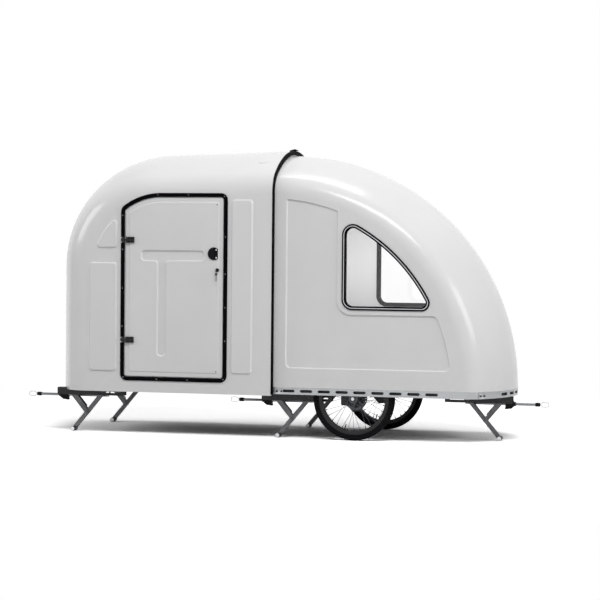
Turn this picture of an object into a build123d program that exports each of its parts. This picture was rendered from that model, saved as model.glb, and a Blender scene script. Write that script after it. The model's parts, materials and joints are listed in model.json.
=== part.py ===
"""Two-shell folding camper trailer for a bicycle, open for sleeping, on its wheels and legs."""
import os
from math import acos, atan2, cos, degrees, radians, sin, sqrt, tan

from build123d import *

# Lengths are in mm. +X points to the nose, +Y to the left, +Z up from the ground.
# A name ending in _U is measured forward from the seam between the two shells.
WALL = 20
BODY_Z = 268
RAIL_H = 42
RAIL_T = 4
HALF_WIDTH = 500
CROWN_R = 750
SHOULDER_R = 160
ROOF_TOP = 1740
ROOF_FALL = 1.9
CORNER_R = 690
DOOR_UNIT_LENGTH = 1447
SEAM_GAP = 10
NOSE_OVERLAP = 14
DOOR_FLOOR_T = 22
RAISE = 9
RECESS = 9
DRAFT = 40

# Leg units: a brace and a leg pinned to it, drawn in along the floor by a rod.
LEG_ANGLE = 50
LEG_ARM = 160
LEG_PIVOT_Z = 242
LEG_TUBE = 25
FOOT_R = 14
FOOT_WIDTH = 60
ROD_Z = 219
ROD_R = 8
ROD_OFFSET = 40
ROD_TIP = 218
LOOP_TIP = 275
LOOP_NECK = 6
LOOP_HEIGHT = 28
LOOP_WIRE_R = 1.5
REAR_BRACE_IN = 127
SEAM_BRACE_U = -3
FRONT_BRACE_IN = 96
SIDE_ROD_EXTRA = 25
SIDE_LEG_IN = 145
FRONT_LEG_Y = 100

WHEEL_U = 493
WHEEL_IN = 90
TYRE_R = 250
TYRE_TUBE_R = 24
RIM_R = 208
SPOKES = 32
AXLE_R = 6
RUNNING = 0.05

# Door unit's sides: the door and the raised panels, set in from the edges of the side's flat part.
DOOR_REAR_IN = 226
DOOR_FRONT_U = -276
DOOR_SILL = 61
DOOR_HEAD = 20
DOOR_CORNER_R = 42
DOOR_SWEEP_R = 400
DOOR_SWEEP_IN = 256
TRIM_W = 24
LEAF_GAP = 5
PLATEAU_IN = 52
PANEL_EDGE = 24
PANEL_R = 22
PANEL_FRONT_U = -118
PANEL_FOOT = 115
PANEL_HEAD = 40
REAR_PANEL_HEAD = 23.5
CORNER_PANEL_FOOT = 109.5
CORNER_PANEL_EDGE = 46
CORNER_PANEL_R = 22
EMBOSS_R = 4

# Nose's sides: the window and the pressed panel, set in from the edge of the side's flat part.
WINDOW_U_SHARE = 0.365
WINDOW_UP_SHARE = 0.403
WINDOW_EDGE = 75
WINDOW_LIFT = 18
WINDOW_R = 66
WINDOW_TIP_R = 50
SEAL_REBATE = 10
SEAL_CORE = 6
PRESS_U = 83
PRESS_UP = 118
PRESS_STEP_U = 394
PRESS_STEP_UP = 440
PRESS_TOP_EDGE = 36
PRESS_FRONT_EDGE = 74
PRESS_R = 30
PRESS_STEP_R = 85
PRESS_EDGE_R = 4.2

# Where the overall length is centred, and what follows from the sizes above.
HINGE_Z = BODY_Z + RAIL_H
LIP_R = ROOF_TOP - HINGE_Z
REAR_BRACE_U = REAR_BRACE_IN - DOOR_UNIT_LENGTH
FRONT_BRACE_U = LIP_R - FRONT_BRACE_IN
SEAM_X = (SIDE_ROD_EXTRA - REAR_BRACE_U - FRONT_BRACE_U) / 2
WHEEL_Y = HALF_WIDTH - WHEEL_IN
SIDE_LEG_Y = HALF_WIDTH - SIDE_LEG_IN
NOSE_INSET = WALL + SEAM_GAP
DROP = CROWN_R - sqrt((CROWN_R - SHOULDER_R) ** 2 - (HALF_WIDTH - SHOULDER_R) ** 2)
NOSE_Y = HALF_WIDTH - NOSE_INSET
REAR_X = SEAM_X - DOOR_UNIT_LENGTH
CORNER_X = REAR_X + CORNER_R
FALL = radians(ROOF_FALL)
CORNER_Z = ROOF_TOP - (CORNER_R + sin(FALL) * (SEAM_X - CORNER_X)) / cos(FALL)
SIDE_REAR = REAR_X + DROP
SIDE_TOP = ROOF_TOP - DROP
DOOR_REAR = SIDE_REAR + DOOR_REAR_IN
DOOR_FRONT = SEAM_X + DOOR_FRONT_U
DOOR_LOW = BODY_Z + DOOR_SILL
DOOR_SWEEP_X = DOOR_REAR + DOOR_SWEEP_IN
DOOR_HIGH = SIDE_TOP - (SEAM_X - DOOR_SWEEP_X) * tan(FALL) + DOOR_HEAD
NOSE_FLAT_R = LIP_R - DROP
WINDOW_U = WINDOW_U_SHARE * NOSE_FLAT_R
WINDOW_UP = WINDOW_UP_SHARE * NOSE_FLAT_R
WHEEL_X = SEAM_X + WHEEL_U
LEG = radians(LEG_ANGLE)
LEG_BASE = 2 * LEG_ARM * cos(LEG)
LEG_LENGTH = (LEG_PIVOT_Z - FOOT_R) / sin(LEG)

ROOF_PLANE = Plane(origin=(CORNER_X, 0, CORNER_Z), x_dir=(0, 1, 0), z_dir=(cos(FALL), 0, sin(FALL)))
REAR_PLANE = Plane(origin=(CORNER_X, 0, CORNER_Z), x_dir=(0, -1, 0), z_dir=(0, 0, -1))
HINGE_PLANE = Plane(origin=(SEAM_X, 0, HINGE_Z), x_dir=(0, 1, 0), z_dir=(1, 0, 0))
HINGE_AXIS = Axis((SEAM_X, 0, HINGE_Z), (0, 1, 0))
NOSE_PLAN = Plane(origin=(SEAM_X, 0, BODY_Z), x_dir=(0, -1, 0), z_dir=(0, 0, 1))
DOOR_PLAN = Plane(origin=(SEAM_X, 0, BODY_Z), x_dir=(0, 1, 0), z_dir=(0, 0, 1))

os.makedirs("parts", exist_ok=True)


def save(builder, label):
    """Label a finished piece and write it as its own file."""
    builder.part.label = label
    export_step(builder.part, f"parts/{label}.step")


def side_plane(y):
    """Upright plane at -y that faces right; its own x and y are the part's X and Z."""
    return Plane(origin=(0, -y, 0), x_dir=(1, 0, 0), z_dir=(0, -1, 0))


def arch(inset, top, base):
    """Area under the shells' crowned arch, drawn inset from the outer skin."""
    half = HALF_WIDTH - inset
    crown = CROWN_R - inset
    shoulder = SHOULDER_R - inset
    lateral = half - shoulder
    spring = top - DROP
    centre = top - CROWN_R
    turn = degrees(atan2(spring - centre, lateral))
    with BuildSketch() as area:
        with BuildLine():
            CenterArc((lateral, spring), shoulder, 0, turn)
            CenterArc((0, centre), crown, turn, 180 - 2 * turn)
            CenterArc((-lateral, spring), shoulder, 180 - turn, turn)
            Line((-half, base), (half, base))
            if base < spring:
                Line((-half, spring), (-half, base))
                Line((half, base), (half, spring))
        make_face()
    return area.sketch


def band(outer, inner, top, base):
    """Arch-shaped strip between two insets, open at the bottom."""
    with BuildSketch() as area:
        add(arch(outer, top, base))
        add(arch(inner, top, base - 1), mode=Mode.SUBTRACT)
    return area.sketch


def door_outline(inset):
    """Door outline with its swept rear top corner, inset from the trim's outer edge."""
    end = degrees(acos(DOOR_SWEEP_IN / DOOR_SWEEP_R))
    with BuildSketch() as area:
        with BuildLine():
            swept = CenterArc((DOOR_SWEEP_X, DOOR_HIGH - DOOR_SWEEP_R), DOOR_SWEEP_R, 90, 90 - end)
            Polyline(
                swept @ 1,
                (DOOR_REAR, DOOR_LOW),
                (DOOR_FRONT, DOOR_LOW),
                (DOOR_FRONT, DOOR_HIGH),
                swept @ 0,
            )
        make_face()
        corners = [v for v in area.vertices() if abs(v.X - DOOR_SWEEP_X) > 1]
        fillet(corners, DOOR_CORNER_R)
        if inset:
            offset(amount=-inset, mode=Mode.REPLACE)
    return area.sketch


def reach_angle(across, radius):
    """Angle above level at which a circle about the fold hinge has that distance across."""
    return degrees(acos(across / radius))


def rise_angle(up, radius):
    """Angle above level at which a circle about the fold hinge has that height over the hinge."""
    return degrees(atan2(up, sqrt(radius**2 - up**2)))


def window_outline(inset):
    """Side window outline, its slope struck from a little above the fold hinge."""
    left = SEAM_X + WINDOW_U
    low = HINGE_Z + WINDOW_UP
    slope_r = NOSE_FLAT_R - WINDOW_EDGE
    start = reach_angle(WINDOW_U, slope_r)
    end = rise_angle(WINDOW_UP - WINDOW_LIFT, slope_r)
    with BuildSketch() as area:
        with BuildLine():
            slope = CenterArc((SEAM_X, HINGE_Z + WINDOW_LIFT), slope_r, end, start - end)
            Polyline(slope @ 1, (left, low), slope @ 0)
        make_face()
        fillet(area.vertices().sort_by(Axis.X)[-1], WINDOW_TIP_R)
        fillet(area.vertices().group_by(Axis.X)[0], WINDOW_R)
        if inset:
            offset(amount=-inset, mode=Mode.REPLACE)
    return area.sketch


def nose_panel_outline():
    """Recess pressed into the nose's sides, behind and below the window."""
    left = SEAM_X + PRESS_U
    low = HINGE_Z + PRESS_UP
    step_x = SEAM_X + PRESS_STEP_U
    step_z = HINGE_Z + PRESS_STEP_UP
    outer_r = NOSE_FLAT_R - PRESS_TOP_EDGE
    front_r = NOSE_FLAT_R - PRESS_FRONT_EDGE
    top_left = reach_angle(PRESS_U, outer_r)
    top_right = reach_angle(PRESS_STEP_U, outer_r)
    high = rise_angle(PRESS_STEP_UP, front_r)
    foot = rise_angle(PRESS_UP, front_r)
    with BuildSketch() as area:
        with BuildLine():
            top = CenterArc((SEAM_X, HINGE_Z), outer_r, top_right, top_left - top_right)
            front = CenterArc((SEAM_X, HINGE_Z), front_r, foot, high - foot)
            Polyline(top @ 1, (left, low), front @ 0)
            Polyline(front @ 1, (step_x, step_z), top @ 0)
        make_face()
        fillet(area.vertices().sort_by_distance((step_x, step_z))[0], PRESS_STEP_R)
        for corner in ((left, low), (front.position_at(0).X, low), (front.position_at(1).X, step_z)):
            fillet(area.vertices().sort_by_distance(corner)[0], PRESS_R)
    return area.sketch


def upright_panel(rear, front, foot, head):
    """Rounded upright rectangle between two X positions and two heights."""
    with BuildSketch() as area:
        with Locations(((rear + front) / 2, (foot + head) / 2)):
            RectangleRounded(front - rear, head - foot, PANEL_R)
    return area.sketch


def corner_panel():
    """Three-sided panel under the swept rear corner, its slope concentric with that corner."""
    right = DOOR_REAR - PANEL_EDGE
    low = CORNER_Z + CORNER_PANEL_FOOT
    curve_r = CORNER_R - DROP - CORNER_PANEL_EDGE
    start = degrees(acos((right - CORNER_X) / curve_r))
    end = 180 - rise_angle(CORNER_PANEL_FOOT, curve_r)
    with BuildSketch() as area:
        with BuildLine():
            curve = CenterArc((CORNER_X, CORNER_Z), curve_r, start, end - start)
            Polyline(curve @ 1, (right, low), curve @ 0)
        make_face()
        fillet(area.vertices(), CORNER_PANEL_R)
    return area.sketch


def rear_panel_outlines():
    """Raised panels of the door unit's sides: ahead of the door, behind it, and above that."""
    foot = BODY_Z + PANEL_FOOT
    ahead = upright_panel(DOOR_FRONT + PANEL_EDGE, SEAM_X + PANEL_FRONT_U, foot, SIDE_TOP - PANEL_HEAD)
    behind = upright_panel(SIDE_REAR + PANEL_EDGE, DOOR_REAR - PANEL_EDGE, foot, CORNER_Z + REAR_PANEL_HEAD)
    return [ahead, behind, corner_panel()]


# Door unit: hood over roof, rear corner and rear wall.
with BuildPart() as door_unit_hood:
    with BuildSketch(ROOF_PLANE):
        add(band(0, WALL, CORNER_R, CORNER_R - DROP))
    extrude(amount=2 * (SEAM_X - CORNER_X))
    with BuildSketch(ROOF_PLANE):
        add(band(0, WALL, CORNER_R, CORNER_R - DROP))
    revolve(axis=Axis((CORNER_X, 0, CORNER_Z), (0, -1, 0)), revolution_arc=90 - ROOF_FALL)
    with BuildSketch(REAR_PLANE):
        add(band(0, WALL, CORNER_R, CORNER_R - DROP))
    extrude(amount=CORNER_Z - BODY_Z)
    split(bisect_by=Plane(origin=(SEAM_X, 0, 0), z_dir=(1, 0, 0)), keep=Keep.BOTTOM)
save(door_unit_hood, "door_unit_hood")


def door_unit_side_area():
    """Flat part of the door unit's side, inside the hood's shoulders."""
    radius = CORNER_R - DROP
    rear = CORNER_X - radius
    top_x = CORNER_X - radius * sin(FALL)
    top_z = CORNER_Z + radius * cos(FALL)
    front_z = top_z + (SEAM_X - top_x) * sin(FALL) / cos(FALL)
    with BuildSketch() as area:
        with BuildLine():
            CenterArc((CORNER_X, CORNER_Z), radius, 90 + ROOF_FALL, 90 - ROOF_FALL)
            Polyline((top_x, top_z), (SEAM_X, front_z), (SEAM_X, BODY_Z), (rear, BODY_Z), (rear, CORNER_Z))
        make_face()
    return area.sketch


with BuildPart() as plain_side:
    with BuildSketch(side_plane(HALF_WIDTH)):
        add(door_unit_side_area())
    extrude(amount=-WALL)
    for outline in rear_panel_outlines():
        with BuildSketch(side_plane(HALF_WIDTH)):
            add(outline)
        extrude(amount=RAISE, taper=DRAFT)
    raised = plain_side.faces().filter_by(Axis.Y).group_by(Axis.Y)[0]
    fillet(raised.edges(), EMBOSS_R)

with BuildPart() as door_unit_side_right:
    add(plain_side.part)
    with BuildSketch(side_plane(HALF_WIDTH)):
        add(door_outline(TRIM_W))
    extrude(amount=-WALL, mode=Mode.SUBTRACT)
save(door_unit_side_right, "door_unit_side_right")

with BuildPart() as door_unit_side_left:
    add(mirror(plain_side.part, about=Plane.XZ))
save(door_unit_side_left, "door_unit_side_left")

SILL_FRONT = 10
SILL_DEPTH = 50
SILL_DROP = 4
SILL_SIDE = 10
SILL_HALF = NOSE_Y - WALL - SILL_SIDE
with BuildPart() as door_unit_floor:
    with BuildSketch(DOOR_PLAN):
        add(arch(WALL, DOOR_UNIT_LENGTH, SILL_FRONT))
    extrude(amount=DOOR_FLOOR_T)
    with BuildSketch(DOOR_PLAN):
        with Locations((0, SILL_FRONT + SILL_DEPTH / 2)):
            Rectangle(2 * SILL_HALF, SILL_DEPTH)
    extrude(amount=RAIL_H - SILL_DROP)
save(door_unit_floor, "door_unit_floor")

SEAL_W = 10
SEAL_LAP = 2
with BuildPart() as seam_seal:
    with BuildSketch(HINGE_PLANE):
        add(band(-SEAL_LAP, WALL + SEAL_LAP, LIP_R, -RAIL_H))
    extrude(amount=SEAL_W)
save(seam_seal, "seam_seal")

# Latch over the seam at the roof's peak: profile as steps from the lip's top.
LATCH_W = 26
LATCH_PROFILE = [(-30, -4), (-30, 5), (-6, 12), (2, 14), (10, 12), (22, 5), (22, 3), (-4, 3), (-4, -4)]
with BuildPart() as roof_latch:
    with BuildSketch(side_plane(0)):
        with BuildLine():
            Polyline([(SEAM_X + u, ROOF_TOP + up) for u, up in LATCH_PROFILE], close=True)
        make_face()
    extrude(amount=LATCH_W / 2, both=True)
    add(door_unit_hood.part, mode=Mode.SUBTRACT)
save(roof_latch, "roof_latch")

# Door: trim round the doorway, leaf with its raised field and sunk T, hinges, handle and lock.
FRAME_T = 6
FRAME_CHAMFER = 1.5
LEAF_PLATEAU = 4
LEAF_FACE = HALF_WIDTH + LEAF_PLATEAU
T_BAR_REAR_IN = 131
T_BAR_FRONT_IN = 147
T_BAR_DOWN = 378
T_BAR_H = 62
T_STEM_SHARE = 0.328
T_STEM_UP = 153
T_STEM_W = 54
T_DEPTH = 10
T_CORNER_R = 22
T_STEM_R = 25
T_JOIN_R = 20
T_EDGE_R = 4.6
PLATEAU_R = 16
PLATEAU_DRAFT = 60
PLATEAU_EDGE_R = 2.5
with BuildPart() as door_frame:
    with BuildSketch(side_plane(HALF_WIDTH)):
        add(door_outline(0))
        add(door_outline(TRIM_W), mode=Mode.SUBTRACT)
    extrude(amount=FRAME_T)
    chamfer(door_frame.faces().sort_by(Axis.Y)[0].edges(), FRAME_CHAMFER)
save(door_frame, "door_frame")

with BuildPart() as door_leaf:
    with BuildSketch(side_plane(HALF_WIDTH)):
        add(door_outline(TRIM_W + LEAF_GAP))
    extrude(amount=-WALL)
    with BuildSketch(side_plane(HALF_WIDTH)) as plateau:
        add(door_outline(PLATEAU_IN))
        fillet([v for v in plateau.vertices() if abs(v.X - DOOR_SWEEP_X) > 1], PLATEAU_R)
    extrude(amount=LEAF_PLATEAU, taper=PLATEAU_DRAFT)
    fillet(door_leaf.faces().filter_by(Axis.Y).sort_by(Axis.Y)[0].edges(), PLATEAU_EDGE_R)
    bar_rear = DOOR_REAR + T_BAR_REAR_IN
    bar_front = DOOR_FRONT - T_BAR_FRONT_IN
    bar_z = DOOR_HIGH - T_BAR_DOWN
    stem_x = bar_rear + T_STEM_SHARE * (bar_front - bar_rear)
    stem_foot = DOOR_LOW + T_STEM_UP
    with BuildSketch(side_plane(LEAF_FACE)) as t_area:
        with Locations(((bar_rear + bar_front) / 2, bar_z)):
            RectangleRounded(bar_front - bar_rear, T_BAR_H, T_CORNER_R)
        with Locations((stem_x, (bar_z + stem_foot) / 2)):
            RectangleRounded(T_STEM_W, bar_z - stem_foot, T_STEM_R)
        joins = [v for v in t_area.vertices() if abs(v.Y - bar_z + T_BAR_H / 2) < 1]
        fillet([v for v in joins if abs(v.X - stem_x) < T_STEM_W], T_JOIN_R)
    extrude(amount=-T_DEPTH, mode=Mode.SUBTRACT)
    leaf_skin = door_leaf.faces().filter_by(Axis.Y).sort_by(Axis.Y)[0]
    fillet(leaf_skin.inner_wires()[0].edges(), T_EDGE_R)
    t_floor = door_leaf.faces().filter_by(Axis.Y).sort_by(Axis.Y)[2]
    fillet(t_floor.edges(), T_EDGE_R)
save(door_leaf, "door_leaf")

# Door hinges: axis outside the wall, on the trim's rear upright.
HINGE_PIN_R = 3
KNUCKLE_R = 6
KNUCKLE_GAP = 0.5
KNUCKLE_LIFT = 1
HINGE_IN = 23
HINGE_UP = 248
HINGE_DOWN = 285
HINGE_H = 36
POST_FOOT = 13
LEAF_STRAP = 52
LEAF_STRAP_T = 9
LEAF_STRAP_IN = 12
LEAF_ARM = 16
DOOR_AXIS_X = DOOR_REAR + HINGE_IN
DOOR_AXIS_Y = -(HALF_WIDTH + FRAME_T + KNUCKLE_R + KNUCKLE_LIFT)
HINGE_HEIGHTS = (DOOR_LOW + HINGE_UP, DOOR_HIGH - HINGE_DOWN)
THIRD = HINGE_H / 3


def hinge_plane(z):
    """Level plane at a height on the door's hinge axis."""
    return Plane(origin=(DOOR_AXIS_X, DOOR_AXIS_Y, z))


with BuildPart() as door_hinge_posts:
    for z in HINGE_HEIGHTS:
        with BuildSketch(hinge_plane(z - HINGE_H / 2)):
            Circle(KNUCKLE_R)
            with Locations((-KNUCKLE_R - KNUCKLE_LIFT, 0)):
                Rectangle(POST_FOOT, KNUCKLE_R + KNUCKLE_LIFT, align=(Align.CENTER, Align.MIN))
        extrude(amount=HINGE_H)
        with BuildSketch(hinge_plane(z - THIRD / 2 - KNUCKLE_GAP)):
            Circle(KNUCKLE_R + KNUCKLE_LIFT)
        extrude(amount=THIRD + 2 * KNUCKLE_GAP, mode=Mode.SUBTRACT)
        with BuildSketch(hinge_plane(z - HINGE_H / 2)):
            Circle(HINGE_PIN_R)
        extrude(amount=HINGE_H)
save(door_hinge_posts, "door_hinge_posts")

with BuildPart() as door_hinge_leaves:
    for z in HINGE_HEIGHTS:
        with BuildSketch(hinge_plane(z - THIRD / 2)):
            Circle(KNUCKLE_R)
            with Locations((LEAF_ARM / 2, KNUCKLE_LIFT)):
                Rectangle(LEAF_ARM, KNUCKLE_R)
        extrude(amount=THIRD)
        with BuildSketch(Plane(origin=(DOOR_AXIS_X + LEAF_STRAP_IN, -LEAF_FACE, z - HINGE_H / 2))):
            Rectangle(LEAF_STRAP, LEAF_STRAP_T, align=(Align.MIN, Align.MAX))
        extrude(amount=HINGE_H)
        with BuildSketch(hinge_plane(z - HINGE_H)):
            Circle(HINGE_PIN_R + RUNNING)
        extrude(amount=2 * HINGE_H, mode=Mode.SUBTRACT)
save(door_hinge_leaves, "door_hinge_leaves")

HANDLE_IN = 84
HANDLE_DOWN = 364
HANDLE_R = 38
HANDLE_FLAT = 25
HANDLE_BASE_T = 5
HANDLE_GRIP = (52, 22, 7)
HANDLE_GRIP_IN = 6
handle_x = DOOR_FRONT - HANDLE_IN
handle_z = DOOR_HIGH - HANDLE_DOWN
with BuildPart() as door_handle:
    with BuildSketch(side_plane(LEAF_FACE)):
        with Locations((handle_x, handle_z)):
            Circle(HANDLE_R)
        with Locations((handle_x + HANDLE_FLAT, handle_z)):
            Rectangle(HANDLE_R, 2 * HANDLE_R, align=(Align.MIN, Align.CENTER), mode=Mode.SUBTRACT)
    extrude(amount=HANDLE_BASE_T)
    with BuildSketch(side_plane(LEAF_FACE + HANDLE_BASE_T)):
        with Locations((handle_x - HANDLE_GRIP_IN, handle_z)):
            SlotOverall(HANDLE_GRIP[0], HANDLE_GRIP[1], rotation=90)
    extrude(amount=HANDLE_GRIP[2])
save(door_handle, "door_handle")

LOCK_IN = 62
LOCK_DOWN = 463
LOCK_R = 11
LOCK_T = 5
KEY_W = 3
KEY_H = 9
KEY_SHANK = 12
KEY_RING_Y = 22
KEY_EYE_R = 4
lock_x = DOOR_FRONT - LOCK_IN
lock_z = DOOR_HIGH - LOCK_DOWN
with BuildPart() as door_lock:
    with BuildSketch(side_plane(LEAF_FACE)):
        with Locations((lock_x, lock_z)):
            Circle(LOCK_R)
    extrude(amount=LOCK_T)
    with BuildSketch(side_plane(LEAF_FACE + LOCK_T)):
        with Locations((lock_x, lock_z)):
            Rectangle(KEY_W, KEY_H)
    extrude(amount=KEY_SHANK)
    with BuildSketch(Plane(origin=(lock_x, 0, 0), x_dir=(0, -1, 0), z_dir=(-1, 0, 0))):
        with Locations((LEAF_FACE + KEY_RING_Y, lock_z)):
            Circle(LOCK_R)
            Circle(KEY_EYE_R, mode=Mode.SUBTRACT)
    extrude(amount=KEY_W / 2, both=True)
save(door_lock, "door_lock")

# Nose: a quarter turn of the same arch about the fold hinge, so the door unit can swing over it.
with BuildPart() as nose_hood:
    with BuildSketch(HINGE_PLANE):
        add(band(NOSE_INSET, NOSE_INSET + WALL, LIP_R, LIP_R - DROP))
    revolve(axis=HINGE_AXIS, revolution_arc=90)
    with BuildSketch(HINGE_PLANE):
        add(band(NOSE_INSET, NOSE_INSET + WALL, LIP_R, LIP_R - DROP))
    extrude(amount=-NOSE_OVERLAP)
save(nose_hood, "nose_hood")

with BuildPart() as nose_side_right:
    with BuildSketch(side_plane(NOSE_Y)):
        with BuildLine():
            CenterArc((SEAM_X, HINGE_Z), NOSE_FLAT_R, 0, 90)
            Polyline(
                (SEAM_X, HINGE_Z + NOSE_FLAT_R),
                (SEAM_X - NOSE_OVERLAP, HINGE_Z + NOSE_FLAT_R),
                (SEAM_X - NOSE_OVERLAP, HINGE_Z),
                (SEAM_X + NOSE_FLAT_R, HINGE_Z),
            )
        make_face()
    extrude(amount=-WALL)
    with BuildSketch(side_plane(NOSE_Y)):
        add(nose_panel_outline())
    extrude(amount=-RECESS, mode=Mode.SUBTRACT)
    outer_skin = nose_side_right.faces().filter_by(Axis.Y).sort_by(Axis.Y)[0]
    fillet(outer_skin.inner_wires()[0].edges(), PRESS_EDGE_R)
    fillet(nose_side_right.faces().filter_by(Axis.Y).sort_by(Axis.Y)[1].edges(), PRESS_EDGE_R)
    with BuildSketch(side_plane(NOSE_Y)):
        add(window_outline(SEAL_REBATE))
    extrude(amount=-WALL, mode=Mode.SUBTRACT)
save(nose_side_right, "nose_side_right")

with BuildPart() as nose_side_left:
    add(mirror(nose_side_right.part, about=Plane.XZ))
save(nose_side_left, "nose_side_left")

SEAL_BULGE = 6
SEAL_CHAMFER = 2
SEAL_FACE = 24
PANE_T = 5
with BuildPart() as window_seal_right:
    with BuildSketch(side_plane(NOSE_Y)):
        add(window_outline(0))
        add(window_outline(SEAL_FACE), mode=Mode.SUBTRACT)
    extrude(amount=SEAL_BULGE)
    chamfer(window_seal_right.faces().sort_by(Axis.Y)[0].edges(), SEAL_CHAMFER)
    with BuildSketch(side_plane(NOSE_Y - WALL)):
        add(window_outline(0))
        add(window_outline(SEAL_FACE), mode=Mode.SUBTRACT)
    extrude(amount=-SEAL_BULGE)
    with BuildSketch(side_plane(NOSE_Y)):
        add(window_outline(SEAL_REBATE))
        add(window_outline(SEAL_REBATE + SEAL_CORE), mode=Mode.SUBTRACT)
    extrude(amount=-WALL)
save(window_seal_right, "window_seal_right")

with BuildPart() as window_seal_left:
    add(mirror(window_seal_right.part, about=Plane.XZ))
save(window_seal_left, "window_seal_left")

with BuildPart() as window_pane_right:
    with BuildSketch(side_plane(NOSE_Y)):
        add(window_outline(SEAL_REBATE + SEAL_CORE))
    extrude(amount=-PANE_T)
save(window_pane_right, "window_pane_right")

with BuildPart() as window_pane_left:
    add(mirror(window_pane_right.part, about=Plane.XZ))
save(window_pane_left, "window_pane_left")

# Nose floor with wheel wells, and the slotted rail round it.
WELL_GAP = 32
WELL_T = 6
WELL_DEPTH = 68
WELL_R = TYRE_R + WELL_GAP
WELL_IN = WHEEL_Y - WELL_DEPTH
WELL_OUT = NOSE_Y - WALL
WELL_W = WELL_OUT - WELL_IN
WELL_HALF = sqrt((WELL_R - WELL_T) ** 2 - (HINGE_Z - TYRE_R) ** 2)
FLOOR_BACK = 10
NUT_GROOVE = 14
NUT_LIP = 8
with BuildPart() as nose_floor:
    with BuildSketch(NOSE_PLAN):
        add(arch(NOSE_INSET + RAIL_T, LIP_R, FLOOR_BACK))
    extrude(amount=RAIL_H)
    with BuildSketch(NOSE_PLAN):
        with Locations((WELL_IN + WELL_W / 2, WHEEL_U), (-WELL_IN - WELL_W / 2, WHEEL_U)):
            Rectangle(WELL_W, 2 * WELL_HALF)
    extrude(amount=RAIL_H, mode=Mode.SUBTRACT)
    with BuildSketch(NOSE_PLAN.offset(NUT_LIP)):
        add(band(NOSE_INSET + RAIL_T / 2, NOSE_INSET + RAIL_T + NUT_GROOVE, LIP_R, 0))
    extrude(amount=RAIL_H - 2 * NUT_LIP, mode=Mode.SUBTRACT)
save(nose_floor, "nose_floor")


def well_plane(side):
    """Upright plane at a wheel well's outer end that faces inward."""
    return Plane(origin=(WHEEL_X, side * WELL_OUT, TYRE_R), x_dir=(side, 0, 0), z_dir=(0, -side, 0))


with BuildPart() as wheel_wells:
    for side in (-1, 1):
        with BuildSketch(well_plane(side)):
            Circle(WELL_R)
        extrude(amount=WELL_W + WELL_T)
        with BuildSketch(well_plane(side)):
            Circle(WELL_R - WELL_T)
        extrude(amount=WELL_W, mode=Mode.SUBTRACT)
    split(bisect_by=Plane(origin=(0, 0, HINGE_Z), z_dir=(0, 0, 1)), keep=Keep.TOP)
save(wheel_wells, "wheel_wells")

SLOT_LENGTH = 75
SLOT_W = 17
SLOT_PITCH = 109
SIDE_SLOTS = 9
FRONT_SLOTS = 5
FIRST_SLOT_U = 103
RAIL_MID = BODY_Z + RAIL_H / 2
with BuildPart() as nose_rail:
    with BuildSketch(NOSE_PLAN):
        add(band(NOSE_INSET, NOSE_INSET + RAIL_T, LIP_R, 0))
    extrude(amount=RAIL_H)
    with BuildSketch(side_plane(0)):
        for i in range(SIDE_SLOTS):
            with Locations((SEAM_X + FIRST_SLOT_U + SLOT_PITCH * i, RAIL_MID)):
                SlotOverall(SLOT_LENGTH, SLOT_W)
    extrude(amount=HALF_WIDTH, both=True, mode=Mode.SUBTRACT)
    with BuildSketch(Plane(origin=(SEAM_X + NOSE_FLAT_R, 0, RAIL_MID), x_dir=(0, 1, 0), z_dir=(1, 0, 0))):
        with GridLocations(SLOT_PITCH, SLOT_W, FRONT_SLOTS, 1):
            SlotOverall(SLOT_LENGTH, SLOT_W)
    extrude(amount=2 * DROP, mode=Mode.SUBTRACT)
save(nose_rail, "nose_rail")

# Fold hinges between the two floors.
FOLD_PIN_R = 5
FOLD_KNUCKLE_R = 9
FOLD_W = 40
FOLD_GAP = 1
FOLD_STRAP = 60
NOSE_STRAP_T = 5
DOOR_STRAP_T = 4
FOLD_HINGE_IN = 170
FOLD_HINGE_Y = (FOLD_HINGE_IN - NOSE_Y, NOSE_Y - FOLD_HINGE_IN)


def fold_plane(y):
    """Upright plane across the fold axis at one y, facing left."""
    return Plane(origin=(SEAM_X, y, HINGE_Z), x_dir=(-1, 0, 0), z_dir=(0, 1, 0))


with BuildPart() as fold_hinge_nose:
    for y in FOLD_HINGE_Y:
        with BuildSketch(fold_plane(y - 1.5 * FOLD_W)):
            Circle(FOLD_KNUCKLE_R)
            Rectangle(FOLD_STRAP, NOSE_STRAP_T, align=(Align.MAX, Align.MIN))
        extrude(amount=3 * FOLD_W)
        with BuildSketch(fold_plane(y - FOLD_W / 2 - FOLD_GAP)):
            Circle(FOLD_KNUCKLE_R + FOLD_GAP)
        extrude(amount=FOLD_W + 2 * FOLD_GAP, mode=Mode.SUBTRACT)
        with BuildSketch(fold_plane(y - 1.5 * FOLD_W)):
            Circle(FOLD_PIN_R)
        extrude(amount=3 * FOLD_W)
save(fold_hinge_nose, "fold_hinge_nose")

with BuildPart() as fold_hinge_door:
    for y in FOLD_HINGE_Y:
        with BuildSketch(fold_plane(y - FOLD_W / 2)):
            Circle(FOLD_KNUCKLE_R)
            Rectangle(FOLD_STRAP, DOOR_STRAP_T, align=(Align.MIN, Align.MAX))
            Circle(FOLD_PIN_R + RUNNING, mode=Mode.SUBTRACT)
        extrude(amount=FOLD_W)
save(fold_hinge_door, "fold_hinge_door")

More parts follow.
